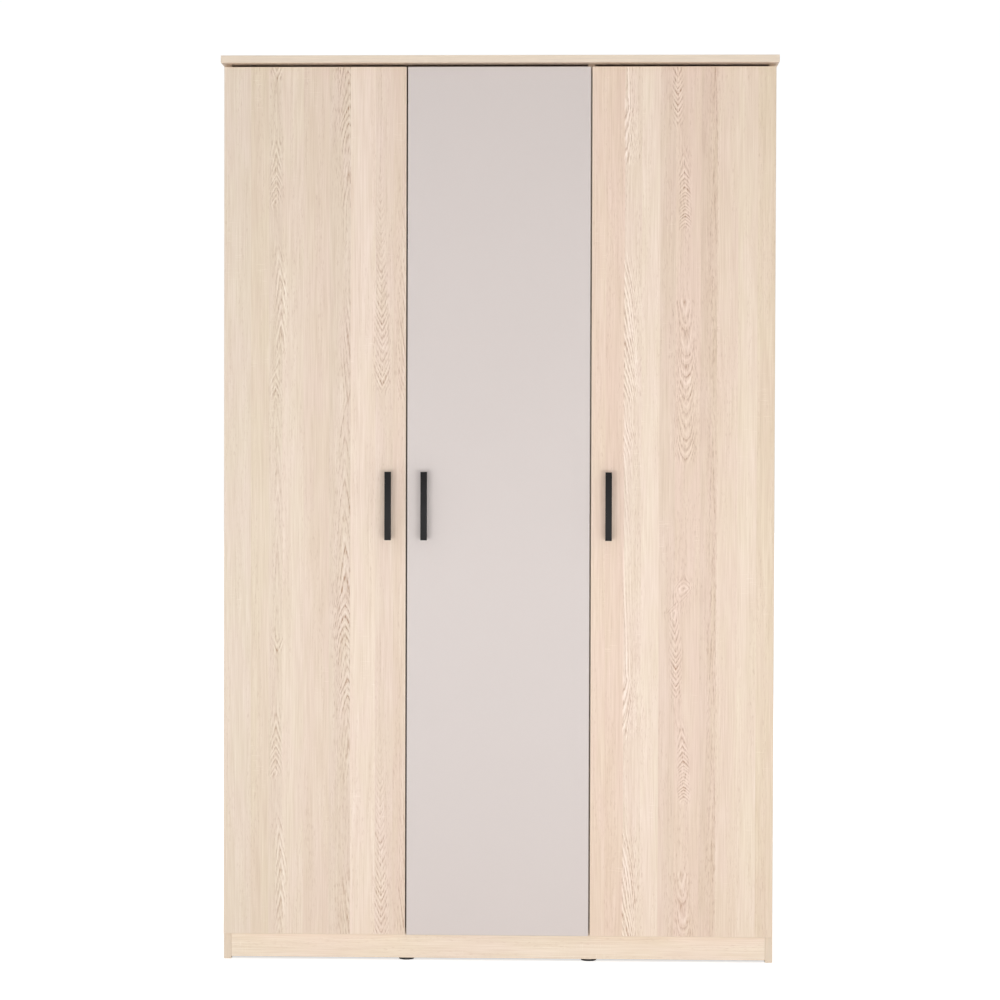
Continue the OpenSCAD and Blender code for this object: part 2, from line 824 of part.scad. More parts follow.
module door(hang, tint) {
    color(tint) difference() {
        board([hang[1] > 0 ? hang[0] : hang[0] - door_w, door_face_y, door_low_z],
              [door_w, door_t, door_h]);
        at_hinges(hang) {
            rod([cup_x, -door_air, 0], [0, -1, 0], cup_d + 2 * fit, cup_depth + fit, past);
            cup_screws_at()
                rod([0, 0, 0], [0, -1, 0], cup_screw_d, cup_screw_l + drill_over, past);
        }
        for (s = [-1, 1])
            rod([handle_x(hang), door_back_y, handle_z + s * handle_pitch / 2], [0, -1, 0],
                handle_screw_d + 4 * fit, door_t + past, past);
    }
}

module handle(hang) {
    bar_y = door_face_y - handle_out;
    color(black) translate([handle_x(hang), 0, handle_z]) difference() {
        union() {
            board([-handle_w / 2, bar_y, -handle_l / 2], [handle_w, handle_bar_t, handle_l]);
            for (s = [-1, 1])
                board([-handle_post / 2, bar_y, s * handle_pitch / 2 - handle_post / 2],
                      [handle_post, handle_out, handle_post]);
        }
        for (s = [-1, 1])
            rod([0, door_face_y, s * handle_pitch / 2], [0, -1, 0], handle_screw_d + fit,
                handle_screw_sunk + drill_over, past);
    }
}

module handle_screws(hang) {
    color(steel) for (s = [-1, 1])
        translate([handle_x(hang), door_back_y, handle_z + s * handle_pitch / 2]) {
            rod([0, 0, 0], [0, -1, 0], handle_screw_d - fit, door_t + handle_screw_sunk);
            rod([0, 0, 0], [0, 1, 0], handle_screw_head[0], handle_screw_head[1]);
        }
}

module hinge_cups(hang) {
    color(steel) at_hinges(hang) hinge_cup();
}

module door_cup_screws(hang) {
    color(steel) at_hinges(hang) cup_screws();
}

module hinge_arms(hang) {
    color(steel) at_hinges(hang) hinge_arm(support(hang));
}

module mounting_plates(hang) {
    color(steel) at_hinges(hang) mounting_plate(support(hang));
}

module hinge_links(hang) {
    color(steel) at_hinges(hang) hinge_link();
}

top_panel();
left_side_panel();
right_side_panel();
partition_panel();
bottom_panel();
front_plinth();
rear_plinth();
floor_bearers();
glides();
back_panel_left();
back_panel_centre();
back_panel_right();
back_joint_strip();
hat_shelf();
hanging_rail();
rail_sockets();
rail_socket_screws();
fixed_shelf();
lower_shelf();
middle_shelf();
upper_shelf();
shelf_pins();
cam_locks();
cam_bolts();
dowels();
wall_brackets();
wall_bracket_screws();
door_bumpers();
hinge_screws();
door(left_hang, ash);  // left_door
handle(left_hang);  // left_handle
handle_screws(left_hang);  // left_handle_screws
hinge_cups(left_hang);  // left_hinge_cups
door_cup_screws(left_hang);  // left_cup_screws
hinge_arms(left_hang);  // left_hinge_arms
mounting_plates(left_hang);  // left_mounting_plates
hinge_links(left_hang);  // left_hinge_links
door(centre_hang, grey);  // centre_door
handle(centre_hang);  // centre_handle
handle_screws(centre_hang);  // centre_handle_screws
hinge_cups(centre_hang);  // centre_hinge_cups
door_cup_screws(centre_hang);  // centre_cup_screws
hinge_arms(centre_hang);  // centre_hinge_arms
mounting_plates(centre_hang);  // centre_mounting_plates
hinge_links(centre_hang);  // centre_hinge_links
door(right_hang, ash);  // right_door
handle(right_hang);  // right_handle
handle_screws(right_hang);  // right_handle_screws
hinge_cups(right_hang);  // right_hinge_cups
door_cup_screws(right_hang);  // right_cup_screws
hinge_arms(right_hang);  // right_hinge_arms
mounting_plates(right_hang);  // right_mounting_plates
hinge_links(right_hang);  // right_hinge_links
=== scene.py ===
"""Looks and studio for a three-door wardrobe in melamine-faced board.

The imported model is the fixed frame. Each sub-assembly below is a class that builds its own meshes
from the frame's nodes and dresses them. Lengths are metres, x to the right, y to the back, z up.
"""

from __future__ import annotations

import logging
import math
from dataclasses import dataclass
from enum import Enum
from typing import Callable, Iterable, Mapping, Sequence

import bmesh
import bpy
from mathutils import Matrix, Vector


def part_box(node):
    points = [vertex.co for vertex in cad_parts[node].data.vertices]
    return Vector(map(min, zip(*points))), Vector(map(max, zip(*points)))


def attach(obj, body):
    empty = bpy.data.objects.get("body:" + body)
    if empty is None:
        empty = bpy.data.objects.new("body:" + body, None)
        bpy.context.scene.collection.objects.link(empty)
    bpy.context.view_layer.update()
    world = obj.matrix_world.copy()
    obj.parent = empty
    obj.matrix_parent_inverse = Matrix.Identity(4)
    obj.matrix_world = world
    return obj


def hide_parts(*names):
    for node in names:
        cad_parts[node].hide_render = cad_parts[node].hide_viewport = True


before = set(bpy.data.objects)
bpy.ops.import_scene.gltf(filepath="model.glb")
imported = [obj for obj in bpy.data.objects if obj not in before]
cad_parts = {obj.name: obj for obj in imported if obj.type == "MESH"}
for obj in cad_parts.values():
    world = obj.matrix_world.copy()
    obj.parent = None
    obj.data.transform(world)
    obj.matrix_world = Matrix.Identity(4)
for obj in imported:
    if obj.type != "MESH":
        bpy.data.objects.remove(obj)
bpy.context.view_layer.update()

LOG = logging.getLogger("wardrobe")
MM = 0.001
GRAIN_MAP = "grain"
# The mark of the rounded edge faces: rubbed wear on most finishes, a painted highlight on the edge strips.
WEAR_AND_HIGHLIGHT = "wear_and_highlight"

Colour = tuple[float, float, float, float]
Socket = bpy.types.NodeSocket
Feed = object


class Axis(Enum):
    """One of the frame's three directions."""

    X = 0
    Y = 1
    Z = 2


class Side(Enum):
    """One of a board's six sides, as (axis, sign)."""

    LEFT = (0, -1)
    RIGHT = (0, 1)
    FRONT = (1, -1)
    REAR = (1, 1)
    BELOW = (2, -1)
    ABOVE = (2, 1)


class Body(Enum):
    """The bodies that pieces ride on."""

    CARCASS = "carcass"
    LEFT_DOOR = "left_door"
    CENTRE_DOOR = "centre_door"
    RIGHT_DOOR = "right_door"
    LEFT_LINKS = "left_hinge_links"
    CENTRE_LINKS = "centre_hinge_links"
    RIGHT_LINKS = "right_hinge_links"


def linear(red: float, green: float, blue: float) -> Colour:
    """Turns a screen colour into the renderer's linear one.

    Args:
        red: Red from 0 to 255.
        green: Green from 0 to 255.
        blue: Blue from 0 to 255.

    Returns:
        The linear colour with full alpha.
    """
    def one(value: float) -> float:
        """One channel from screen to linear."""
        share = value / 255
        return share / 12.92 if share <= 0.04045 else ((share + 0.055) / 1.055) ** 2.4

    return one(red), one(green), one(blue), 1.0


class Graph:
    """A shader or geometry node tree, with short calls that add a node and join it up."""

    def __init__(self, tree: bpy.types.NodeTree) -> None:
        """Keeps the tree that the calls add to."""
        self.tree = tree

    def feed(self, socket: Socket, value: Feed) -> None:
        """Joins a socket to another one, or sets its value."""
        if isinstance(value, bpy.types.NodeSocket):
            self.tree.links.new(value, socket)
        else:
            socket.default_value = value

    def node(self, kind: str, inputs: Mapping | None = None, **settings: Feed) -> bpy.types.Node:
        """Adds a node.

        Args:
            kind: The node's type name.
            inputs: What each input, by name or place, takes.
            **settings: The node's own properties.

        Returns:
            The new node.
        """
        made = self.tree.nodes.new(kind)
        for name, value in settings.items():
            setattr(made, name, value)
        for key, value in (inputs or {}).items():
            self.feed(made.inputs[key], value)
        return made

    def math(self, operation: str, *values: Feed) -> Socket:
        """Works out one number from the values."""
        made = self.node("ShaderNodeMath", operation=operation)
        for socket, value in zip(made.inputs, values):
            self.feed(socket, value)
        return made.outputs[0]

    def sum(self, *values: Feed) -> Socket:
        """Adds up two or more numbers."""
        total = values[0]
        for value in values[1:]:
            total = self.math("ADD", total, value)
        return total

    def times(self, *values: Feed) -> Socket:
        """Multiplies two or more numbers."""
        total = values[0]
        for value in values[1:]:
            total = self.math("MULTIPLY", total, value)
        return total

    def around(self, value: Feed, spread: float) -> Socket:
        """A number from 0 to 1 turned into one from minus half the spread to plus half of it."""
        return self.math("MULTIPLY", self.math("SUBTRACT", value, 0.5), spread)

    def span(self, value: Feed, low: Feed, high: Feed, start: Feed = 0.0, end: Feed = 1.0) -> Socket:
        """Maps a value smoothly from one stretch to another, and stops at its ends.

        Args:
            value: What is mapped.
            low: Where the stretch starts.
            high: Where it ends.
            start: What comes out at its start.
            end: What comes out at its end.

        Returns:
            The mapped number.
        """
        made = self.node("ShaderNodeMapRange", interpolation_type="SMOOTHSTEP")
        for socket, number in zip(made.inputs, (value, low, high, start, end)):
            self.feed(socket, number)
        return made.outputs[0]

    def mix(self, factor: Feed, first: Feed, second: Feed, blend: str = "MIX") -> Socket:
        """Mixes two colours."""
        return self.node(
            "ShaderNodeMix", {0: factor, 6: first, 7: second}, data_type="RGBA", blend_type=blend
        ).outputs[2]

    def colour_of(self, red: Feed, green: Feed, blue: Feed) -> Socket:
        """Puts three numbers together as a colour."""
        return self.node("ShaderNodeCombineColor", {0: red, 1: green, 2: blue}).outputs[0]

    def noise(self, x: Feed, y: Feed, z: Feed = 0.0, detail: float = 2.0) -> Socket:
        """Smooth noise from 0 to 1 at a point that already has the pattern's scale."""
        point = self.node("ShaderNodeCombineXYZ", {"X": x, "Y": y, "Z": z}).outputs[0]
        return self.node(
            "ShaderNodeTexNoise", {"Vector": point, "Scale": 1.0, "Detail": detail}
        ).outputs[0]

    def ramp(self, at: Feed, stops: Sequence[tuple[float, Sequence[float]]], stepped: bool) -> bpy.types.Node:
        """Looks up a colour and an alpha.

        Args:
            at: Where to look, from 0 to 1.
            stops: Each stop's place, and its colour and alpha.
            stepped: Whether the values jump from stop to stop, or run on evenly.

        Returns:
            The ramp node.
        """
        made = self.node("ShaderNodeValToRGB", {"Fac": at})
        ramp = made.color_ramp
        ramp.interpolation = "CONSTANT" if stepped else "LINEAR"
        ramp.elements.remove(ramp.elements[-1])
        ramp.elements[0].position = stops[0][0]
        ramp.elements[0].color = stops[0][1]
        for start, colour in stops[1:]:
            ramp.elements.new(start).color = colour
        return made


GroupFill = Callable[[Graph, Mapping[str, Socket]], Mapping[str, Socket]]


@dataclass(frozen=True)
class Effect:
    """A shader node group that several finishes share.

    Attributes:
        name: The group's name.
        inputs: Each input's name and first value.
        outputs: Each output's name and socket type.
        fill: What builds its inside.
    """

    name: str
    inputs: tuple[tuple[str, float], ...]
    outputs: tuple[tuple[str, str], ...]
    fill: GroupFill

    def tree(self) -> bpy.types.NodeTree:
        """The group's tree, built at its first use."""
        found = bpy.data.node_groups.get(self.name)
        if found:
            return found
        tree = bpy.data.node_groups.new(self.name, "ShaderNodeTree")
        for name, value in self.inputs:
            socket = tree.interface.new_socket(name, in_out="INPUT", socket_type="NodeSocketFloat")
            socket.default_value = value
        for name, kind in self.outputs:
            tree.interface.new_socket(name, in_out="OUTPUT", socket_type=kind)
        graph = Graph(tree)
        entry = graph.node("NodeGroupInput")
        results = self.fill(graph, {name: entry.outputs[name] for name, _ in self.inputs})
        graph.node("NodeGroupOutput", results)
        return tree

    def place(self, graph: Graph, inputs: Mapping[str, Feed]) -> bpy.types.Node:
        """Puts the group into a material.

        Args:
            graph: The material's tree.
            inputs: What each of the group's inputs takes.

        Returns:
            The group's node.
        """
        made = graph.node("ShaderNodeGroup", node_tree=self.tree())
        for name, value in inputs.items():
            graph.feed(made.inputs[name], value)
        return made


def fill_growth_rings(g: Graph, given: Mapping[str, Socket]) -> Mapping[str, Socket]:
    """The growth rings around one heart line: pointed or blunt peaks that fade to the sides."""
    across, reach = given["Across"], given["Reach"]
    squared = g.times(across, across)
    far = g.math("SQRT", g.sum(squared, 1.0))
    pointed = g.sum(g.times(far, 0.125), g.times(squared, 0.0012))
    blunt = g.math("POWER", g.math("DIVIDE", far, 14.0), 3.0)
    bend = g.sum(
        g.times(pointed, g.math("SUBTRACT", 1.0, given["Bluntness"])), g.times(blunt, given["Bluntness"])
    )
    rings = g.sum(given["Rings"], bend)
    rings = g.sum(rings, g.around(g.noise(g.times(rings, 0.9), given["Seed"], detail=1.0), 0.9))
    part = g.math("FRACT", rings)
    dark = g.times(g.span(part, 0.0, 0.08), g.span(part, 0.12, 0.42, 1.0, 0.0))
    light = g.times(g.span(part, 0.4, 0.52), g.span(part, 0.58, 0.84, 1.0, 0.0))
    place = g.times(g.math("FLOOR", rings), 0.7)
    uneven = g.span(g.noise(place, given["Seed"], detail=0.0), 0.3, 0.7, 0.5, 1.0)
    strength = given["Strength"]
    limit = g.times(reach, g.sum(0.3, g.times(strength, 0.7)))
    fade = g.span(far, g.times(limit, 0.3), limit, 1.0, 0.0)
    whole = g.times(fade, strength, uneven)
    near = g.times(g.span(far, g.times(reach, 0.5), g.times(reach, 1.3), 1.0, 0.0), strength)
    return {"Dark": g.times(dark, whole), "Light": g.times(light, whole), "Near": near}


def fill_fibres(g: Graph, given: Mapping[str, Socket]) -> Mapping[str, Socket]:
    """Long fibres, broad bands, pores and cream cross flecks of a wood grain."""
    across, along, seed = given["Across"], given["Along"], given["Seed"]
    band = g.noise(g.times(across, 48.0), g.times(along, 1.6), seed, detail=3.0)
    hue = g.noise(g.times(across, 30.0), g.times(along, 6.0), g.sum(seed, 21.0), detail=1.0)
    streak = g.noise(g.times(across, 330.0), g.times(along, 9.0), seed, detail=3.0)
    fibre = g.noise(g.times(across, 900.0), g.times(along, 14.0), seed, detail=2.0)
    dash = g.noise(g.times(across, 620.0), g.times(along, 70.0), g.sum(seed, 3.0), detail=1.0)
    place = g.noise(g.times(across, 60.0), g.times(along, 3.0), g.sum(seed, 5.0), detail=1.0)
    pore = g.times(g.span(dash, 0.56, 0.7), g.span(place, 0.45, 0.6))
    bar = g.noise(g.times(across, 42.0), g.times(along, 420.0), g.sum(seed, 9.0), detail=0.0)
    patch = g.noise(g.times(across, 14.0), g.times(along, 5.0), g.sum(seed, 11.0), detail=1.0)
    fleck = g.times(g.span(bar, 0.66, 0.8), g.span(patch, 0.56, 0.7))
    return {"Band": band, "Hue": hue, "Streak": streak, "Fibre": fibre, "Dash": dash, "Pore": pore,
            "Fleck": fleck}


def fill_orange_peel(g: Graph, given: Mapping[str, Socket]) -> Mapping[str, Socket]:
    """The fine pimples of a sprayed, moulded or pressed surface, and slow clouds over it."""
    place = g.node("ShaderNodeTexCoord").outputs["Object"]
    fine = g.node(
        "ShaderNodeTexNoise", {"Vector": place, "Scale": given["Fineness"], "Detail": 2.0}
    ).outputs[0]
    cloud = g.node(
        "ShaderNodeTexNoise", {"Vector": place, "Scale": given["Cloud"], "Detail": 3.0}
    ).outputs[0]
    return {"Height": fine, "Cloud": cloud}


def fill_edge_wear_and_highlight(g: Graph, given: Mapping[str, Socket]) -> Mapping[str, Socket]:
    """Where handling has rubbed the rounded edges, and where the edge strips get a painted highlight, from the
    edge mark and broken-up noise.
    """
    mark = g.node("ShaderNodeAttribute", attribute_name=WEAR_AND_HIGHLIGHT).outputs["Fac"]
    place = g.node("ShaderNodeTexCoord").outputs["Object"]
    broken = g.node(
        "ShaderNodeTexNoise", {"Vector": place, "Scale": given["Breaks"], "Detail": 4.0}
    ).outputs[0]
    rubbed = g.span(broken, 0.45, 0.7)
    return {"Worn": g.times(mark, rubbed, given["Amount"])}


def fill_drawn_metal(g: Graph, given: Mapping[str, Socket]) -> Mapping[str, Socket]:
    """Fine drawing lines and cloudy plating of pressed or drawn metal."""
    place = g.node("ShaderNodeTexCoord").outputs["Object"]
    stretch = g.node(
        "ShaderNodeCombineXYZ",
        {"X": given["Lines X"], "Y": given["Lines Y"], "Z": given["Lines Z"]},
    ).outputs[0]
    pulled = g.node("ShaderNodeVectorMath", {0: place, 1: stretch}, operation="MULTIPLY").outputs[0]
    lines = g.node("ShaderNodeTexNoise", {"Vector": pulled, "Scale": 1.0, "Detail": 3.0}).outputs[0]
    cloud = g.node("ShaderNodeTexNoise", {"Vector": place, "Scale": 60.0, "Detail": 4.0}).outputs[0]
    return {"Lines": lines, "Cloud": cloud}


FLOAT = "NodeSocketFloat"
GROWTH_RINGS = Effect(
    "growth_rings",
    (("Across", 0.0), ("Rings", 0.0), ("Strength", 1.0), ("Bluntness", 0.0), ("Reach", 20.0), ("Seed", 0.0)),
    (("Dark", FLOAT), ("Light", FLOAT), ("Near", FLOAT)),
    fill_growth_rings,
)
FIBRES = Effect(
    "fibres",
    (("Across", 0.0), ("Along", 0.0), ("Seed", 0.0)),
    (("Band", FLOAT), ("Hue", FLOAT), ("Streak", FLOAT), ("Fibre", FLOAT), ("Dash", FLOAT), ("Pore", FLOAT),
     ("Fleck", FLOAT)),
    fill_fibres,
)
ORANGE_PEEL = Effect(
    "orange_peel",
    (("Fineness", 900.0), ("Cloud", 6.0)),
    (("Height", FLOAT), ("Cloud", FLOAT)),
    fill_orange_peel,
)
# Mask of the rounded edges, broken up by noise: rubbed wear in most finishes, a painted highlight in the edge
# strips.
EDGE_WEAR_AND_HIGHLIGHT = Effect(
    "edge_wear_and_highlight",
    (("Breaks", 90.0), ("Amount", 0.6)),
    (("Worn", FLOAT),),
    fill_edge_wear_and_highlight,
)
DRAWN_METAL = Effect(
    "drawn_metal",
    (("Lines X", 900.0), ("Lines Y", 900.0), ("Lines Z", 40.0)),
    (("Lines", FLOAT), ("Cloud", FLOAT)),
    fill_drawn_metal,
)


class Finish:
    """What all finishes share: a material made once, from a Principled shader."""

    name: str

    def material(self) -> bpy.types.Material:
        """The finish's material, built at its first use."""
        found = bpy.data.materials.get(self.name)
        if found:
            return found
        made = bpy.data.materials.new(self.name)
        made.use_nodes = True
        made.node_tree.nodes.clear()
        graph = Graph(made.node_tree)
        shader = graph.node("ShaderNodeBsdfPrincipled")
        graph.node("ShaderNodeOutputMaterial", {"Surface": shader.outputs[0]})
        self.paint(graph, shader)
        return made

    def paint(self, g: Graph, shader: bpy.types.Node) -> None:
        """Joins the finish's own nodes to the shader."""
        raise NotImplementedError

    @staticmethod
    def emboss(g: Graph, shader: bpy.types.Node, height: Feed, depth: float) -> None:
        """Gives the shader a fine relief.

        Args:
            g: The material's tree.
            shader: The Principled shader.
            height: The relief, from 0 to 1.
            depth: Its depth in metres.
        """
        bump = g.node("ShaderNodeBump", {"Strength": 1.0, "Distance": depth, "Height": height})
        g.feed(shader.inputs["Normal"], bump.outputs[0])


@dataclass(frozen=True)
class Stave:
    """One plank of the printed wood pattern.

    Attributes:
        width: Its width in millimetres.
        tint: Its colour on a screen, each channel from 0 to 255.
    """

    width: float
    tint: tuple[float, float, float]


@dataclass(frozen=True)
class Figure:
    """One column of growth rings in the printed wood pattern.

    Attributes:
        heart: Its middle line, in millimetres from the sheet's left side.
        span: Where it starts and ends across the sheet, in millimetres.
        course: Its run up the pattern's repeat. Each row has the height from 0 to 1, the count of
            rings so far, their strength, their bluntness and the middle line's drift in millimetres.
        reach: How far the rings show on each side of the middle line, in millimetres.
        dark: How strongly the dark lines show.
        light: How strongly the cream lines show.
    """

    heart: float
    span: tuple[float, float]
    course: tuple[tuple[float, float, float, float, float], ...]
    reach: float = 20.0
    dark: float = 1.0
    light: float = 1.0


@dataclass(frozen=True)
class WoodPrint(Finish):
    """Matt ash-look decor: stave-joined planks with growth rings, fibres, pores and flecks.

    Attributes:
        name: The material's name.
        staves: The planks across the sheet, from left to right.
        figures: The columns of growth rings.
        relief: Depth of the pore relief in metres.
        repeat: Length of the pattern's repeat in metres.
    """

    name: str
    staves: tuple[Stave, ...]
    figures: tuple[Figure, ...]
    relief: float = 0.00003
    repeat: float = 1.244

    DRIFT_SCALE = 40.0

    def width(self) -> float:
        """Width of the whole sheet in millimetres."""
        return sum(stave.width for stave in self.staves)

    def paint(self, g: Graph, shader: bpy.types.Node) -> None:
        """Joins the wood's nodes to the shader."""
        place = g.node("ShaderNodeSeparateXYZ", {0: g.node("ShaderNodeUVMap", uv_map=GRAIN_MAP).outputs[0]})
        across, along = place.outputs[0], place.outputs[1]
        share = g.math("FRACT", g.math("DIVIDE", across, self.width() * MM))
        tint, number = self.stave_colours(g, share)
        grain = FIBRES.place(g, {"Across": across, "Along": along, "Seed": g.times(number, 40.0)})
        dark, light, near = self.rings(g, share, across, along)
        dash = grain.outputs["Dash"]
        dark = g.sum(
            g.times(dark, g.span(dash, 0.36, 0.56, 0.25, 1.0)), g.times(near, g.span(dash, 0.55, 0.68), 0.45)
        )
        light = g.sum(light, g.times(near, g.span(dash, 0.32, 0.45, 1.0, 0.0), 0.4))
        shade = g.sum(
            1.0, g.around(grain.outputs["Band"], 0.17), g.around(grain.outputs["Streak"], 0.34),
            g.around(grain.outputs["Fibre"], 0.2),
        )
        warm = g.math("POWER", shade, 1.35)
        colour = g.mix(1.0, tint, g.colour_of(g.math("POWER", shade, 0.75), shade, warm), "MULTIPLY")
        hue = g.span(grain.outputs["Hue"], 0.32, 0.68)
        yellow = g.mix(1.0, colour, (1.0, 1.0, 0.972, 1.0), "MULTIPLY")
        pink = g.mix(1.0, colour, (1.008, 0.99, 0.994, 1.0), "MULTIPLY")
        colour = g.mix(hue, pink, yellow)
        latewood = g.mix(1.0, colour, (0.60, 0.45, 0.36, 1.0), "MULTIPLY")
        cream = g.mix(1.0, colour, (1.14, 1.19, 1.25, 1.0), "MULTIPLY")
        colour = g.mix(g.times(dark, 0.85), colour, latewood)
        colour = g.mix(g.times(light, 0.85), colour, cream)
        colour = g.mix(g.times(grain.outputs["Pore"], 0.22), colour, latewood)
        colour = g.mix(g.times(grain.outputs["Fleck"], 0.4), colour, cream)
        g.feed(shader.inputs["Base Color"], colour)
        rough = g.sum(0.52, g.around(grain.outputs["Streak"], 0.12), g.times(dark, 0.08))
        g.feed(shader.inputs["Roughness"], rough)
        height = g.math("SUBTRACT", g.times(grain.outputs["Fibre"], 0.4), g.sum(grain.outputs["Pore"], dark))
        self.emboss(g, shader, height, self.relief)

    def stave_colours(self, g: Graph, share: Socket) -> tuple[Socket, Socket]:
        """The ramp that gives each stave its own colour and number.

        Args:
            g: The material's tree.
            share: Place across the sheet, from 0 to 1.

        Returns:
            The colour and the number from 0 to 1.
        """
        stops, left = [], 0.0
        for number, stave in enumerate(self.staves):
            stops.append((left / self.width(), (*linear(*stave.tint)[:3], number / len(self.staves))))
            left += stave.width
        made = g.ramp(share, stops, True)
        return made.outputs[0], made.outputs[1]

    def rings(self, g: Graph, share: Socket, across: Socket, along: Socket) -> tuple[Socket, ...]:
        """The dark and cream lines of all figures, and the dashes around them.

        Args:
            g: The material's tree.
            share: Place across the sheet, from 0 to 1.
            across: Place across the grain in metres.
            along: Place along the grain in metres.

        Returns:
            How strongly dark lines, cream lines and dashes show.
        """
        flat = g.times(share, self.width())
        wander = g.around(g.noise(g.times(along, 3.5), g.times(across, 6.0), detail=1.0), 11.0)
        jag = g.around(g.noise(g.times(across, 330.0), g.times(along, 85.0), 4.0, detail=1.0), 2.8)
        turn = g.math("FRACT", g.math("DIVIDE", along, self.repeat))
        darks, lights, nears = [0.0], [0.0], [0.0]
        for number, figure in enumerate(self.figures):
            counts = [row[1] for row in figure.course]
            low, high = min(counts), max(counts)
            stops = [
                (at, ((count - low) / (high - low), strength, bluntness, 0.5 + drift / self.DRIFT_SCALE))
                for at, count, strength, bluntness, drift in figure.course
            ]
            run = g.ramp(turn, stops, False)
            parts = g.node("ShaderNodeSeparateColor", {0: run.outputs[0]})
            heart = g.sum(figure.heart, g.around(run.outputs[1], self.DRIFT_SCALE))
            made = GROWTH_RINGS.place(g, {
                "Across": g.sum(g.math("SUBTRACT", flat, heart), wander, jag),
                "Rings": g.times(parts.outputs[0], high - low), "Strength": parts.outputs[1],
                "Bluntness": parts.outputs[2], "Reach": figure.reach, "Seed": 3.7 * number,
            })
            inside = g.times(
                g.math("GREATER_THAN", flat, figure.span[0]), g.math("LESS_THAN", flat, figure.span[1])
            )
            darks.append(g.times(made.outputs["Dark"], inside, figure.dark))
            lights.append(g.times(made.outputs["Light"], inside, figure.light))
            nears.append(g.times(made.outputs["Near"], inside))
        return g.sum(*darks), g.sum(*lights), g.sum(*nears)


@dataclass(frozen=True)
class EdgeBand(Finish):
    """The plastic strip glued to a board's cut edge: straight grain or plain, slightly glossier, with a painted
    highlight on its rounded edges.
    """

    name: str
    tint: tuple[float, float, float]
    grain: float

    def paint(self, g: Graph, shader: bpy.types.Node) -> None:
        """Joins the strip's nodes to the shader."""
        place = g.node("ShaderNodeSeparateXYZ", {0: g.node("ShaderNodeUVMap", uv_map=GRAIN_MAP).outputs[0]})
        grain = FIBRES.place(g, {"Across": place.outputs[0], "Along": place.outputs[1], "Seed": 17.0})
        shade = g.sum(
            1.0, g.around(grain.outputs["Streak"], 0.16 * self.grain),
            g.around(grain.outputs["Fibre"], 0.16 * self.grain),
        )
        colour = g.mix(1.0, linear(*self.tint), shade, "MULTIPLY")
        # Painted highlight: the strip's rounded edges are lightened towards near white, in broken patches.
        wear_and_highlight = EDGE_WEAR_AND_HIGHLIGHT.place(g, {"Breaks": 25.0, "Amount": 0.25}).outputs[0]
        colour = g.mix(wear_and_highlight, colour, linear(244, 236, 224))
        g.feed(shader.inputs["Base Color"], colour)
        g.feed(shader.inputs["Roughness"], g.sum(0.40, g.around(grain.outputs["Band"], 0.10)))
        self.emboss(g, shader, grain.outputs["Fibre"], 0.00001)


@dataclass(frozen=True)
class PlainMelamine(Finish):
    """One plain colour of melamine with a fine pearl texture and slow, faint clouds."""

    name: str
    tint: tuple[float, float, float]
    roughness: float = 0.46

    def paint(self, g: Graph, shader: bpy.types.Node) -> None:
        """Joins the melamine's nodes to the shader."""
        peel = ORANGE_PEEL.place(g, {"Fineness": 1400.0, "Cloud": 2.2})
        speck = ORANGE_PEEL.place(g, {"Fineness": 420.0, "Cloud": 9.0})
        shade = g.sum(
            1.0, g.around(peel.outputs["Cloud"], 0.05), g.around(speck.outputs["Height"], 0.03),
            g.around(peel.outputs["Height"], 0.035),
        )
        g.feed(shader.inputs["Base Color"], g.mix(1.0, linear(*self.tint), shade, "MULTIPLY"))
        rough = g.sum(self.roughness, g.around(speck.outputs["Cloud"], 0.10))
        g.feed(shader.inputs["Roughness"], rough)
        self.emboss(g, shader, peel.outputs["Height"], 0.00003)


@dataclass(frozen=True)
class RawChipboard(Finish):
    """The cut face of chipboard: packed wood chips of several browns, with painted shade in the voids between
    them.
    """

    name: str = "raw_chipboard"

    def paint(self, g: Graph, shader: bpy.types.Node) -> None:
        """Joins the chips' nodes to the shader."""
        place = g.node("ShaderNodeTexCoord").outputs["Object"]
        chips = g.node("ShaderNodeTexVoronoi", {"Vector": place, "Scale": 420.0, "Randomness": 1.0})
        tone = g.node("ShaderNodeSeparateColor", {0: chips.outputs["Color"]}).outputs[0]
        colour = g.mix(tone, linear(176, 142, 100), linear(216, 188, 148))
        grit = g.node("ShaderNodeTexNoise", {"Vector": place, "Scale": 1900.0, "Detail": 3.0}).outputs[0]
        shaded_voids = g.times(g.span(chips.outputs["Distance"], 0.5, 0.85), g.span(grit, 0.4, 0.6))
        # Painted shade: the voids between the chips are darkened towards deep brown.
        colour = g.mix(g.times(shaded_voids, 0.6), colour, linear(96, 70, 44))
        g.feed(shader.inputs["Base Color"], colour)
        g.feed(shader.inputs["Roughness"], g.sum(0.82, g.around(grit, 0.15)))
        self.emboss(g, shader, g.math("SUBTRACT", grit, shaded_voids), 0.00025)


@dataclass(frozen=True)
class Hardboard(Finish):
    """The brown pressed face of hardboard, with faint fibres and scuffs."""

    name: str = "hardboard_face"

    def paint(self, g: Graph, shader: bpy.types.Node) -> None:
        """Joins the board's nodes to the shader."""
        place = g.node("ShaderNodeTexCoord").outputs["Object"]
        fibres = g.node(
            "ShaderNodeTexNoise",
            {"Vector": place, "Scale": 260.0, "Detail": 6.0, "Roughness": 0.7, "Distortion": 1.5},
        ).outputs[0]
        cloud = g.node("ShaderNodeTexNoise", {"Vector": place, "Scale": 7.0, "Detail": 4.0}).outputs[0]
        dark = g.mix(g.span(fibres, 0.3, 0.7), linear(142, 104, 66), linear(178, 138, 94))
        shade = g.sum(1.0, g.around(cloud, 0.22))
        colour = g.mix(1.0, dark, shade, "MULTIPLY")
        g.feed(shader.inputs["Base Color"], colour)
        g.feed(shader.inputs["Roughness"], g.sum(0.55, g.around(cloud, 0.25)))
        self.emboss(g, shader, fibres, 0.00008)


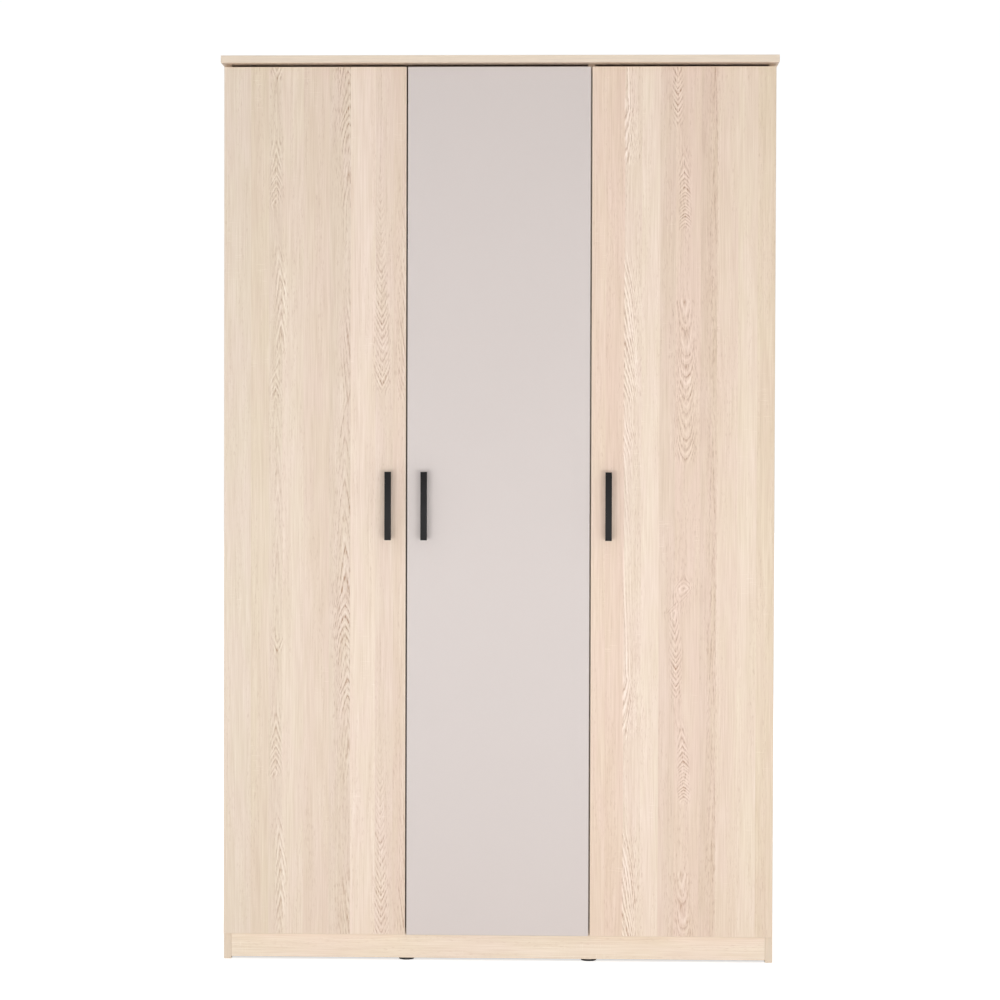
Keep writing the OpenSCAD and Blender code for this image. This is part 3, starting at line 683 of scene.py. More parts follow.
@dataclass(frozen=True)
class PowderCoat(Finish):
    """Matt black powder coat with fine orange peel, rubbed a little on its edges."""

    name: str = "black_powder_coat"
    tint: tuple[float, float, float] = (15, 13, 14)

    def paint(self, g: Graph, shader: bpy.types.Node) -> None:
        """Joins the coat's nodes to the shader."""
        peel = ORANGE_PEEL.place(g, {"Fineness": 1500.0, "Cloud": 45.0})
        wear_and_highlight = EDGE_WEAR_AND_HIGHLIGHT.place(g, {"Breaks": 160.0, "Amount": 0.45}).outputs[0]
        shade = g.sum(1.0, g.around(peel.outputs["Cloud"], 0.25), g.around(peel.outputs["Height"], 0.2))
        colour = g.mix(1.0, linear(*self.tint), shade, "MULTIPLY")
        g.feed(shader.inputs["Base Color"], g.mix(wear_and_highlight, colour, linear(70, 66, 66)))
        g.feed(shader.inputs["Roughness"], g.sum(0.5, g.around(peel.outputs["Cloud"], 0.12)))
        shader.inputs["Specular IOR Level"].default_value = 0.25
        self.emboss(g, shader, peel.outputs["Height"], 0.00003)


@dataclass(frozen=True)
class Moulded(Finish):
    """Moulded plastic with a fine spark-eroded texture."""

    name: str
    tint: tuple[float, float, float]
    roughness: float = 0.45

    def paint(self, g: Graph, shader: bpy.types.Node) -> None:
        """Joins the plastic's nodes to the shader."""
        peel = ORANGE_PEEL.place(g, {"Fineness": 2200.0, "Cloud": 30.0})
        wear_and_highlight = EDGE_WEAR_AND_HIGHLIGHT.place(g, {"Breaks": 120.0, "Amount": 0.2}).outputs[0]
        shade = g.sum(1.0, g.around(peel.outputs["Cloud"], 0.12), g.around(peel.outputs["Height"], 0.06))
        colour = g.mix(1.0, linear(*self.tint), shade, "MULTIPLY")
        g.feed(shader.inputs["Base Color"], g.mix(wear_and_highlight, colour, linear(150, 148, 146)))
        g.feed(shader.inputs["Roughness"], g.sum(self.roughness, g.around(peel.outputs["Cloud"], 0.15)))
        self.emboss(g, shader, peel.outputs["Height"], 0.00003)


@dataclass(frozen=True)
class Plated(Finish):
    """Plated steel: drawing lines, cloudy plating and brighter rubbed edges.

    Attributes:
        name: The material's name.
        tint: Its colour on a screen.
        roughness: How dull it is.
        lines: How closely the drawing lines lie along x, y and z, each per metre.
        cloudiness: How strongly the plating's clouds show.
    """

    name: str
    tint: tuple[float, float, float]
    roughness: float
    lines: tuple[float, float, float] = (900.0, 900.0, 60.0)
    cloudiness: float = 0.15

    def paint(self, g: Graph, shader: bpy.types.Node) -> None:
        """Joins the metal's nodes to the shader."""
        drawn = DRAWN_METAL.place(
            g, {"Lines X": self.lines[0], "Lines Y": self.lines[1], "Lines Z": self.lines[2]}
        )
        wear_and_highlight = EDGE_WEAR_AND_HIGHLIGHT.place(g, {"Breaks": 200.0, "Amount": 0.5}).outputs[0]
        shade = g.sum(
            1.0, g.around(drawn.outputs["Cloud"], self.cloudiness), g.around(drawn.outputs["Lines"], 0.08)
        )
        colour = g.mix(1.0, linear(*self.tint), shade, "MULTIPLY")
        g.feed(shader.inputs["Base Color"], g.mix(wear_and_highlight, colour, linear(236, 236, 236)))
        rough = g.sum(
            self.roughness, g.around(drawn.outputs["Cloud"], self.roughness * 0.6),
            g.around(drawn.outputs["Lines"], self.roughness * 0.5),
        )
        g.feed(shader.inputs["Roughness"], rough)
        shader.inputs["Metallic"].default_value = 1.0
        self.emboss(g, shader, drawn.outputs["Lines"], 0.00001)


@dataclass(frozen=True)
class RawBeech(Finish):
    """Raw turned beech: a pale brown with short dark flecks along the rod."""

    name: str = "raw_beech"

    def paint(self, g: Graph, shader: bpy.types.Node) -> None:
        """Joins the wood's nodes to the shader."""
        place = g.node("ShaderNodeTexCoord").outputs["Object"]
        flecks = g.node("ShaderNodeTexNoise", {"Vector": place, "Scale": 700.0, "Detail": 3.0}).outputs[0]
        colour = g.mix(g.span(flecks, 0.35, 0.75), linear(206, 172, 128), linear(226, 196, 154))
        g.feed(shader.inputs["Base Color"], colour)
        g.feed(shader.inputs["Roughness"], g.sum(0.7, g.around(flecks, 0.2)))
        self.emboss(g, shader, flecks, 0.00005)


LEFT_FIGURES = (
    Figure(113, (88, 152), (
        (0, 0, 0.6, 0, 8), (0.058, 2, 0.8, 0, 12), (0.131, 4.5, 1, 0, 12), (0.192, 6.5, 0.8, 0, 7),
        (0.215, 7.2, 0.2, 0, 4), (0.264, 8, 0.15, 0, 0), (0.278, 8, 0.8, 0, -4), (0.283, 8, 1, 0, 0),
        (0.306, 10, 1, 0, 0), (0.327, 12, 1, 0, 0), (0.35, 13.5, 1, 0, 0), (0.388, 15, 0.8, 0, 0),
        (0.411, 15.2, 0.3, 0, 0), (0.49, 16, 0.3, 0, 2), (0.498, 16, 1, 0, 3), (0.519, 14.5, 1, 0, 3),
        (0.533, 14.5, 0.4, 0, 2), (0.76, 17, 0.5, 0, 6), (0.939, 20, 0.5, 0, 0), (0.953, 21, 1, 0, 0),
        (0.979, 23, 0.8, 0, 0), (0.998, 24, 0.6, 0, 7),
    ), 17, 0.8, 1.5),
    Figure(275, (173, 275.5), (
        (0, 10, 0.8, 0, 0), (0.1, 7.5, 0.6, 0, 0), (0.117, 7.5, 0.3, 0, -2), (0.26, 8, 0.35, 0, -2),
        (0.274, 8, 0.6, 0, -3), (0.392, 11, 0.8, 0, -3), (0.42, 12.5, 1, 0.2, -3),
        (0.428, 13.3, 1, 0.2, -3), (0.442, 14.3, 1, 0.2, -3), (0.469, 15.5, 1, 0.2, -3),
        (0.498, 16.8, 1, 0.3, -5), (0.516, 18, 1, 0.4, -8), (0.6, 23, 0.9, 0.5, -11),
        (0.76, 26, 0.6, 0.3, -11), (0.892, 29, 0.5, 0.3, -11), (0.918, 29.3, 0.3, 0.2, -8),
        (0.939, 29.5, 0.4, 0, -3), (0.998, 28, 0.8, 0, 0),
    ), 34, 1.3, 0.8),
    Figure(342, (318, 369), (
        (0, 25.4, 1, 0, 2), (0.096, 18, 0.85, 0, 1), (0.201, 10, 0.55, 0, 0), (0.253, 6, 0.4, 0, 0),
        (0.334, 0, 0.22, 0, -1), (0.516, 0, 0.18, 0, 0), (0.551, 0, 0.04, 0, 0), (0.656, 0, 0, 0, 0),
        (0.935, 0, 0, 0, 0), (0.941, 29.5, 0.1, 0, 3), (0.953, 29, 0.6, 0, 3), (0.97, 27.6, 1, 0, 3),
        (0.998, 25.5, 1, 0, 2),
    ), 22, 1.0, 1.0),
    Figure(398, (369, 397), (
        (0, 8, 0.8, 0, 0), (0.301, 0, 0.35, 0, 0), (0.341, 0, 0.1, 0, 0), (0.9, 0, 0.05, 0, 0),
        (0.918, 12, 0.1, 0, 0), (0.944, 11.2, 0.8, 0, 0), (0.998, 8, 0.8, 0, 0),
    ), 34, 0.9, 0.4),
)
RIGHT_FIGURES = (
    Figure(68, (69.5, 116), (
        (0, 0, 1, 0.1, 0), (0.04, 1.8, 0.9, 0.1, 0), (0.047, 2.2, 1, 0.1, 0), (0.114, 4.4, 1, 0.1, 0),
        (0.18, 7.2, 0.6, 0.1, 0), (0.198, 7.4, 0.2, 0, 0), (0.341, 7.6, 0.2, 0.3, 0),
        (0.358, 7.6, 1, 0.6, 0), (0.448, 4.4, 1, 0.6, 0), (0.463, 4.4, 0.6, 0.2, 0),
        (0.538, 4.6, 0.5, 0, 0), (0.694, 5.5, 0.35, 0, 0), (0.837, 8, 0.5, 0, 0),
        (0.888, 11, 0.8, 0.1, 0), (0.909, 11.5, 0.3, 0.1, 0), (0.932, 12, 0.4, 0.1, 0),
        (0.944, 12.6, 1, 0.1, 0), (0.998, 16, 1, 0.1, 0),
    ), 48, 0.9, 2.6),
    Figure(199, (150, 258), (
        (0, 20, 1, 1, 5), (0.019, 19, 1, 1, 5), (0.059, 18, 0.7, 0.8, 3), (0.075, 17, 0.7, 0.6, 2),
        (0.103, 16.2, 0.8, 0.4, 1), (0.11, 16, 0.9, 0.4, 1), (0.117, 16.3, 0, 0.3, 0),
        (0.56, 21, 0, 0, -19), (0.566, 21, 0.8, 0, -19), (0.586, 23, 0.5, 0.3, -8),
        (0.61, 21, 1, 0.6, 2), (0.626, 23, 0.5, 0.3, 2), (0.638, 23, 0.25, 0, 0),
        (0.804, 24, 0.15, 0, 3), (0.81, 28.3, 0, 0.7, 5), (0.827, 28.3, 0.3, 0.7, 5),
        (0.839, 27.8, 0.9, 0.7, 5), (0.852, 27, 1, 0.7, 5), (0.875, 25.6, 1, 0.7, 5),
        (0.905, 24.4, 1, 0.7, 5), (0.941, 23, 1, 0.7, 5), (0.998, 20, 1, 0.9, 5),
    ), 33, 1.0, 1.0),
    Figure(199, (168, 232), (
        (0, 0, 0, 0, 0), (0.117, 16.3, 0, 0.3, 0), (0.12, 16.3, 0.35, 0.2, 0), (0.227, 16.5, 0.35, 0, 0),
        (0.236, 16.5, 1, 0.2, 3), (0.299, 27, 1, 0.2, 2), (0.332, 31, 1, 0.1, 0),
        (0.367, 33, 0.9, 0, -2), (0.385, 33.2, 0.4, 0, -8), (0.411, 33.3, 0.5, 0, -14),
        (0.416, 33.3, 1, 0, -14), (0.5, 25, 1, 0, -14), (0.56, 21, 0.9, 0, -19), (0.568, 21, 0, 0, -19),
    ), 16, 1.0, 1.0),
    Figure(262, (244, 274), (
        (0, 0, 0.7, 0, 0), (0.5, 3, 0.9, 0, 2), (0.998, 6, 0.7, 0, 0),
    ), 14, 0.55, 0.3),
)
LEFT_PRINT = WoodPrint("ash_print_left", (
    Stave(58, (232, 215, 197)),
    Stave(39, (230, 212, 191)),
    Stave(29, (230, 212, 193)),
    Stave(47, (235, 217, 199)),
    Stave(56, (231, 211, 193)),
    Stave(46, (229, 210, 192)),
    Stave(55, (239, 220, 203)),
    Stave(39, (233, 213, 196)),
    Stave(28, (231, 210, 192)),
), LEFT_FIGURES)
RIGHT_PRINT = WoodPrint("ash_print_right", (
    Stave(30, (236, 213, 194)),
    Stave(40, (234, 210, 191)),
    Stave(38, (237, 217, 199)),
    Stave(39, (240, 221, 203)),
    Stave(33, (231, 209, 191)),
    Stave(55, (233, 210, 192)),
    Stave(25, (228, 205, 186)),
    Stave(11, (227, 204, 184)),
    Stave(45, (235, 214, 195)),
    Stave(42, (237, 218, 198)),
    Stave(39, (231, 211, 188)),
), RIGHT_FIGURES)
CARCASS_PRINT = WoodPrint("ash_print_carcass", (
    Stave(58, (242, 225, 206)),
    Stave(39, (231, 211, 192)),
    Stave(29, (232, 213, 194)),
    Stave(64, (238, 220, 202)),
    Stave(88, (230, 210, 191)),
    Stave(52, (239, 221, 204)),
    Stave(46, (233, 214, 194)),
    Stave(75, (235, 217, 198)),
    Stave(96, (229, 209, 191)),
    Stave(61, (237, 219, 200)),
), (LEFT_FIGURES[0], RIGHT_FIGURES[1]))
ASH_EDGE = EdgeBand("ash_edge_band", (237, 220, 200), 1.0)
SIDE_EDGE = EdgeBand("ash_side_edge_band", (228, 210, 189), 1.0)
GREY_FACE = PlainMelamine("grey_melamine", (216, 206, 202))
GREY_EDGE = EdgeBand("grey_edge_band", (212, 204, 199), 0.25)
BACK_FOIL = PlainMelamine("back_foil", (233, 222, 206), 0.5)
CHIPS = RawChipboard()
BACK_FACE = Hardboard()
BLACK_COAT = PowderCoat()
BLACK_PLASTIC = Moulded("black_plastic_moulding", (26, 26, 28))
WHITE_PLASTIC = Moulded("white_plastic_moulding", (232, 229, 222))
NICKEL = Plated("nickel_plating", (206, 204, 199), 0.26)
ZINC = Plated("zinc_plating", (186, 190, 196), 0.38, (500.0, 500.0, 500.0), 0.3)
CHROME = Plated("chrome_plating", (222, 224, 227), 0.10, (20.0, 1500.0, 1500.0), 0.06)
BEECH = RawBeech()


class Shape:
    """A mesh in the making, begun from a frame node's solids."""

    def __init__(self, node: str) -> None:
        """Copies the node's triangles and joins them into clean faces.

        Args:
            node: The frame node's name.
        """
        self.node = node
        self.mesh = bmesh.new()
        self.mesh.from_mesh(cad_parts[node].data)
        bmesh.ops.remove_doubles(self.mesh, verts=self.mesh.verts, dist=0.000004)
        bmesh.ops.dissolve_limit(
            self.mesh, angle_limit=math.radians(0.4), verts=self.mesh.verts, edges=self.mesh.edges
        )
        self.low, self.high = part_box(node)
        self.wear_and_highlight: set[bmesh.types.BMFace] = set()

    def on_sides(self, point: Vector, slack: float = 0.00002) -> set[Side]:
        """The sides of the node's box that a point lies on."""
        found = set()
        for side in Side:
            axis, sign = side.value
            face = self.high[axis] if sign > 0 else self.low[axis]
            if abs(point[axis] - face) < slack:
                found.add(side)
        return found

    def box_edges(self) -> list[bmesh.types.BMEdge]:
        """The edges that lie along the twelve edges of the node's box."""
        return [
            edge for edge in self.mesh.edges
            if len(self.on_sides(edge.verts[0].co) & self.on_sides(edge.verts[1].co)) >= 2
        ]

    def sharp_edges(self, least: float = 35.0) -> list[bmesh.types.BMEdge]:
        """The edges whose faces meet at more than an angle in degrees."""
        return [
            edge for edge in self.mesh.edges
            if len(edge.link_faces) == 2 and edge.calc_face_angle(0.0) > math.radians(least)
        ]

    def round_edges(self, edges: Iterable[bmesh.types.BMEdge], radius: float, steps: int) -> None:
        """Rounds edges over and marks the new faces for the edge wear and the painted edge highlight.

        Args:
            edges: What is rounded.
            radius: The rounding in metres.
            steps: The number of strips across it.
        """
        made = bmesh.ops.bevel(
            self.mesh, geom=list(edges), offset=radius, segments=steps, profile=0.5,
            affect="EDGES", clamp_overlap=True,
        )
        self.wear_and_highlight.update(face for face in made["faces"] if face.is_valid)

    def piece(self, name: str, materials: Sequence[Finish], body: Body, slot: str) -> bpy.types.Object:
        """Makes the object, in place of its node.

        Args:
            name: The piece's name.
            materials: Its finishes, in the order of the faces' material numbers.
            body: The body that it rides on.
            slot: The record's material slot; not used.

        Returns:
            The new object.
        """
        data = bpy.data.meshes.new(name)
        self.mark_wear_and_highlight()
        self.mesh.to_mesh(data)
        self.mesh.free()
        for finish in materials:
            data.materials.append(finish.material())
        made = bpy.data.objects.new(name, data)
        bpy.context.scene.collection.objects.link(made)
        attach(made, body.value)
        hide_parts(self.node)
        return made

    def mark_wear_and_highlight(self) -> None:
        """Writes which faces the edge wear and the painted edge highlight can reach."""
        layer = self.mesh.faces.layers.float.new(WEAR_AND_HIGHLIGHT)
        for face in self.wear_and_highlight:
            if face.is_valid:
                face[layer] = 1.0


@dataclass(frozen=True)
class Board:
    """A faced board: its two faces, its edge strips and the raw chips in its cuts and bores.

    Attributes:
        node: The frame node that it replaces.
        along: The direction of its grain.
        thick: The direction of its thickness.
        face: The finish of its two faces.
        strip: The finish of its edge strips.
        banded: The sides that have an edge strip.
        cut: Where on the decor sheet it was cut, across and along, in metres.
        body: The body that it rides on.
        slot: The record's material slot.
        radius: The rounding of its edges in metres.
    """

    node: str
    along: Axis
    thick: Axis
    face: Finish
    strip: Finish
    banded: frozenset[Side]
    cut: tuple[float, float] = (0.0, 0.0)
    body: Body = Body.CARCASS
    slot: str = "ash_board"
    radius: float = 0.0009

    FACE, STRIP, RAW = 0, 1, 2

    def across(self) -> Axis:
        """The direction of its width, across the grain."""
        return next(axis for axis in Axis if axis not in (self.along, self.thick))

    def build(self) -> bpy.types.Object:
        """Builds the board's piece."""
        shape = Shape(self.node)
        shape.round_edges(shape.box_edges(), self.radius, 3)
        grain = shape.mesh.loops.layers.uv.new(GRAIN_MAP)
        for face in shape.mesh.faces:
            face.material_index = self.material_of(shape, face)
            face.smooth = face in shape.wear_and_highlight or not shape.on_sides(face.calc_center_median())
            self.lay_grain(shape, face, grain)
        name = f"{self.node}_board"
        return shape.piece(name, (self.face, self.strip, CHIPS), self.body, self.slot)

    def material_of(self, shape: Shape, face: bmesh.types.BMFace) -> int:
        """Picks the finish of one face.

        Args:
            shape: The board's mesh.
            face: The face.

        Returns:
            The number of its material.
        """
        middle = face.calc_center_median()
        near = shape.on_sides(middle, self.radius * 1.5)
        cut_sides = {side for side in near if side.value[0] != self.thick.value}
        if not near:
            return self.RAW
        if face in shape.wear_and_highlight:
            return self.STRIP if cut_sides & self.banded else self.RAW if len(near) < 2 else self.STRIP
        if shape.on_sides(middle) and abs(face.normal[self.thick.value]) > 0.9:
            return self.FACE
        if cut_sides & self.banded:
            return self.STRIP
        return self.RAW

    def lay_grain(self, shape: Shape, face: bmesh.types.BMFace, layer: bmesh.types.BMLayerItem) -> None:
        """Lays the wood's across and along over one face.

        Args:
            shape: The board's mesh.
            face: The face.
            layer: The map that takes the places.
        """
        normal = [abs(part) for part in face.normal]
        facing = normal.index(max(normal))
        across, along = self.across().value, self.along.value
        if facing == across:
            across = self.thick.value
        elif facing == along:
            across, along = self.thick.value, across
        for loop in face.loops:
            place = loop.vert.co
            loop[layer].uv = (
                place[across] - shape.low[across] + self.cut[0],
                place[along] - shape.low[along] + self.cut[1],
            )


ALL_ROUND = {
    Axis.X: frozenset({Side.FRONT, Side.REAR, Side.ABOVE, Side.BELOW}),
    Axis.Y: frozenset({Side.LEFT, Side.RIGHT, Side.ABOVE, Side.BELOW}),
}
FRONT_ONLY = frozenset({Side.FRONT})


@dataclass(frozen=True)
class Carcass:
    """The fixed boards: top, sides, partition, bottom, plinths, bearers and shelves."""

    def build(self) -> list[bpy.types.Object]:
        """Builds every fixed board."""
        return [board.build() for board in self.boards()]

    def boards(self) -> list[Board]:
        """The list of boards, each cut from its own place on the sheet."""
        x, y, z = Axis.X, Axis.Y, Axis.Z
        lists = [
            ("top_panel", x, z, {Side.FRONT, Side.LEFT, Side.RIGHT}, (0.10, 0.31)),
            ("left_side_panel", z, x, {Side.FRONT, Side.BELOW}, (0.22, 0.47)),
            ("right_side_panel", z, x, {Side.FRONT, Side.BELOW}, (0.41, 0.12)),
            ("partition_panel", z, x, {Side.FRONT}, (0.05, 0.66)),
            ("bottom_panel", x, z, {Side.FRONT}, (0.33, 0.02)),
            ("front_plinth", x, y, {Side.ABOVE, Side.BELOW}, (0.005, 0.71)),
            ("rear_plinth", x, y, {Side.BELOW}, (0.20, 0.35)),
            ("hat_shelf", x, z, {Side.FRONT}, (0.46, 0.18)),
            ("fixed_shelf", x, z, {Side.FRONT}, (0.15, 0.05)),
            ("lower_shelf", x, z, {Side.FRONT}, (0.28, 0.52)),
            ("middle_shelf", x, z, {Side.FRONT}, (0.37, 0.83)),
            ("upper_shelf", x, z, {Side.FRONT}, (0.02, 0.24)),
        ]
        return [
            Board(
                node, along, thick, CARCASS_PRINT, SIDE_EDGE if thick is x else ASH_EDGE, frozenset(banded), cut
            )
            for node, along, thick, banded, cut in lists
        ]


class SolidKind(Enum):
    """How a plain solid's edges are rounded: along its box, or wherever they are sharp."""

    BOX = "box"
    SHARP = "sharp"


@dataclass(frozen=True)
class Solid:
    """A metal or plastic solid with softly rounded edges, in place of its node.

    Attributes:
        node: The frame node that it replaces.
        finish: Its finish.
        slot: The record's material slot.
        body: The body that it rides on.
        radius: The rounding in metres.
        steps: The number of strips across the rounding.
        kind: Which edges are rounded.
    """

    node: str
    finish: Finish
    slot: str
    body: Body = Body.CARCASS
    radius: float = 0.0003
    steps: int = 2
    kind: SolidKind = SolidKind.SHARP

    def build(self) -> bpy.types.Object:
        """Builds the solid's piece."""
        shape = Shape(self.node)
        edges = shape.box_edges() if self.kind is SolidKind.BOX else shape.sharp_edges()
        shape.round_edges(edges, self.radius, self.steps)
        for face in shape.mesh.faces:
            face.smooth = True
        for edge in shape.sharp_edges(28.0):
            edge.smooth = False
        self.flatten_large(shape)
        return shape.piece(f"{self.node}_formed", (self.finish,), self.body, self.slot)

    def flatten_large(self, shape: Shape) -> None:
        """Keeps the large flat faces flat, so that their shading doesn't bend at the rounding."""
        limit = (self.radius * 6) ** 2
        for face in shape.mesh.faces:
            if face not in shape.wear_and_highlight and face.calc_area() > limit and len(face.verts) != 4:
                face.smooth = False


@dataclass(frozen=True)
class Door:
    """A door leaf with its handle, hinge cups and links.

    Attributes:
        hand: Which door: left, centre or right.
        body: The door's body.
        links: The body of its hinge links.
        face: The finish of its faces.
        strip: The finish of its edge strips.
        slot: The record's material slot of the leaf.
    """

    hand: str
    body: Body
    links: Body
    face: Finish
    strip: Finish
    slot: str

    def build(self) -> list[bpy.types.Object]:
        """Builds the door's pieces."""
        leaf = Board(
            f"{self.hand}_door", Axis.Z, Axis.Y, self.face, self.strip,
            ALL_ROUND[Axis.Y], body=self.body, slot=self.slot,
        )
        handle = Solid(
            f"{self.hand}_handle", BLACK_COAT, "black_metal", self.body, 0.0012, 3
        )
        cups = Solid(f"{self.hand}_hinge_cups", NICKEL, "nickel_steel", self.body, 0.0003)
        links = Solid(f"{self.hand}_hinge_links", NICKEL, "nickel_steel", self.links, 0.0003)
        arms = Solid(f"{self.hand}_hinge_arms", NICKEL, "nickel_steel", radius=0.0004)
        plates = Solid(f"{self.hand}_mounting_plates", NICKEL, "nickel_steel", radius=0.0004)
        return [part.build() for part in (leaf, handle, cups, links, arms, plates)]


@dataclass(frozen=True)
class Back:
    """The three hardboard panels and the strip that joins two of them."""

    nodes: tuple[str, ...] = ("back_panel_left", "back_panel_centre", "back_panel_right")

    def build(self) -> list[bpy.types.Object]:
        """Builds the panels, brown outside and foil-faced inside, and the strip."""
        made = []
        for node in self.nodes:
            shape = Shape(node)
            shape.round_edges(shape.box_edges(), 0.0004, 2)
            for face in shape.mesh.faces:
                face.material_index = 1 if face.normal.y < -0.9 else 0
            made.append(
                shape.piece(f"{node}_sheet", (BACK_FACE, BACK_FOIL), Body.CARCASS, "hardboard")
            )
        strip = Solid("back_joint_strip", WHITE_PLASTIC, "white_plastic", radius=0.0003)
        return [*made, strip.build()]


@dataclass(frozen=True)
class Fittings:
    """The rail, its sockets, glides, bumpers, brackets and the fittings that stay as they are."""

    def build(self) -> list[bpy.types.Object]:
        """Builds the rounded fittings and dresses the frame nodes that stay."""
        made = [
            Solid("hanging_rail", CHROME, "chrome_rail", radius=0.0002).build(),
            Solid("rail_sockets", NICKEL, "nickel_steel", radius=0.0004).build(),
            Solid("glides", BLACK_PLASTIC, "black_plastic", radius=0.0006, steps=3).build(),
            Solid("door_bumpers", WHITE_PLASTIC, "white_plastic", radius=0.0007, steps=3).build(),
            Solid("wall_brackets", ZINC, "zinc", radius=0.0004).build(),
            Solid("shelf_pins", ZINC, "zinc", radius=0.0004).build(),
            Solid("floor_bearers", CHIPS, "ash_board", radius=0.0006, kind=SolidKind.BOX).build(),
        ]
        stay = {"cam_locks": ZINC, "cam_bolts": ZINC, "dowels": BEECH}
        for node, finish in stay.items():
            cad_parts[node].material_slots[0].material = finish.material()
            made.append(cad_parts[node])
        return made


class GeometryTree:
    """A geometry node tree with named inputs, and the mesh that it makes."""

    def __init__(self, name: str, inputs: Sequence[tuple[str, str]]) -> None:
        """Starts the tree.

        Args:
            name: The tree's name.
            inputs: Each input's name and socket type, after the geometry.
        """
        self.tree = bpy.data.node_groups.new(name, "GeometryNodeTree")
        face = self.tree.interface
        face.new_socket("Geometry", in_out="INPUT", socket_type="NodeSocketGeometry")
        for title, kind in inputs:
            face.new_socket(title, in_out="INPUT", socket_type=kind)
        face.new_socket("Geometry", in_out="OUTPUT", socket_type="NodeSocketGeometry")
        self.graph = Graph(self.tree)
        self.entry = self.graph.node("NodeGroupInput").outputs

    def close(self, instances: Socket) -> None:
        """Ends the tree: the instances become real and take their material."""
        real = self.graph.node("GeometryNodeRealizeInstances", {0: instances}).outputs[0]
        dressed = self.graph.node(
            "GeometryNodeSetMaterial", {"Geometry": real, "Material": self.entry["Material"]}
        ).outputs[0]
        self.graph.node("NodeGroupOutput", {0: dressed})

    def grow(self, name: str, seed_mesh: bpy.types.Mesh, values: Mapping[str, Feed]) -> bpy.types.Object:
        """Runs the tree on a mesh and keeps the result as a plain mesh.

        Args:
            name: The new object's name.
            seed_mesh: What the tree starts from.
            values: Each input's value by its name.

        Returns:
            The new object, with no modifier left.
        """
        made = bpy.data.objects.new(name, seed_mesh)
        bpy.context.scene.collection.objects.link(made)
        modifier = made.modifiers.new(name, "NODES")
        modifier.node_group = self.tree
        keys = {
            item.name: item.identifier for item in self.tree.interface.items_tree
            if item.in_out == "INPUT"
        }
        for title, value in values.items():
            modifier[keys[title]] = value
        ready = made.evaluated_get(bpy.context.evaluated_depsgraph_get())
        mesh = bpy.data.meshes.new_from_object(ready)
        made.modifiers.clear()
        made.data = mesh
        mesh.name = name
        return made


def screw_tree() -> GeometryTree:
    """The tree of a domed cross-head screw, set at each vertex of the mesh that it is given."""
    number, vector = "NodeSocketFloat", "NodeSocketVector"
    tree = GeometryTree("cross_head_screws", (
        ("Head Radius", number), ("Head Height", number), ("Shank Radius", number),
        ("Shank Length", number), ("Thread Depth", number), ("Facing", vector),
        ("Seed", "NodeSocketInt"), ("Material", "NodeSocketMaterial"),
    ))
    g, given = tree.graph, tree.entry
    radius, height = given["Head Radius"], given["Head Height"]

    def vec(x: Feed, y: Feed, z: Feed) -> Socket:
        """A vector of three numbers."""
        return g.node("ShaderNodeCombineXYZ", {"X": x, "Y": y, "Z": z}).outputs[0]

    def shifted(shape: Socket, move: Socket) -> Socket:
        """A shape moved by a vector."""
        return g.node("GeometryNodeTransform", {"Geometry": shape, "Translation": move}).outputs[0]

    ball = g.node("GeometryNodeMeshUVSphere", {"Segments": 24, "Rings": 12, "Radius": 1.0}).outputs[0]
    dome = g.node(
        "GeometryNodeTransform", {"Geometry": ball, "Scale": vec(radius, radius, height)}
    ).outputs[0]
    wide = g.times(radius, 4.0)
    below = g.node("GeometryNodeMeshCube", {"Size": vec(wide, wide, g.times(height, 2.0))}).outputs[0]
    cuts = g.node("GeometryNodeJoinGeometry")
    g.tree.links.new(shifted(below, vec(0.0, 0.0, g.times(height, -1.0))), cuts.inputs[0])
    slot_long, slot_wide = g.times(radius, 1.15), g.times(radius, 0.26)
    for size in ((slot_long, slot_wide), (slot_wide, slot_long)):
        bar = g.node("GeometryNodeMeshCube", {"Size": vec(*size, height)}).outputs[0]
        g.tree.links.new(shifted(bar, vec(0.0, 0.0, g.times(height, 0.98))), cuts.inputs[0])
    head = g.node(
        "GeometryNodeMeshBoolean", {0: dome, 1: cuts.outputs[0]}, operation="DIFFERENCE", solver="EXACT"
    ).outputs[0]
    length = given["Shank Length"]
    shank = g.node(
        "GeometryNodeMeshCylinder",
        {"Vertices": 16, "Radius": given["Shank Radius"], "Depth": length},
    ).outputs[0]
    turns = g.math("DIVIDE", length, 0.0014)
    helix = g.node("GeometryNodeCurveSpiral", {
        "Resolution": 12, "Rotations": turns, "Start Radius": given["Shank Radius"],
        "End Radius": given["Shank Radius"], "Height": length,
    }).outputs[0]
    tooth = g.node("GeometryNodeCurvePrimitiveCircle", {"Resolution": 3, "Radius": given["Thread Depth"]})
    thread = g.node(
        "GeometryNodeCurveToMesh",
        {"Curve": helix, "Profile Curve": tooth.outputs[0], "Fill Caps": True},
    ).outputs[0]
    whole = g.node("GeometryNodeJoinGeometry")
    g.tree.links.new(head, whole.inputs[0])
    g.tree.links.new(shifted(shank, vec(0.0, 0.0, g.times(length, -0.5))), whole.inputs[0])
    g.tree.links.new(shifted(thread, vec(0.0, 0.0, g.times(length, -1.0))), whole.inputs[0])
    spin = g.node(
        "FunctionNodeRandomValue",
        {"Min": 0.0, "Max": math.pi, "Seed": given["Seed"]}, data_type="FLOAT",
    )
    turned = g.node("FunctionNodeRotateEuler", {
        "Rotation": given["Facing"], "Rotate By": vec(0.0, 0.0, spin.outputs[1]),
    }, space="LOCAL").outputs[0]
    placed = g.node(
        "GeometryNodeInstanceOnPoints",
        {"Points": given["Geometry"], "Instance": whole.outputs[0], "Rotation": turned},
    ).outputs[0]
    tree.close(placed)
    return tree


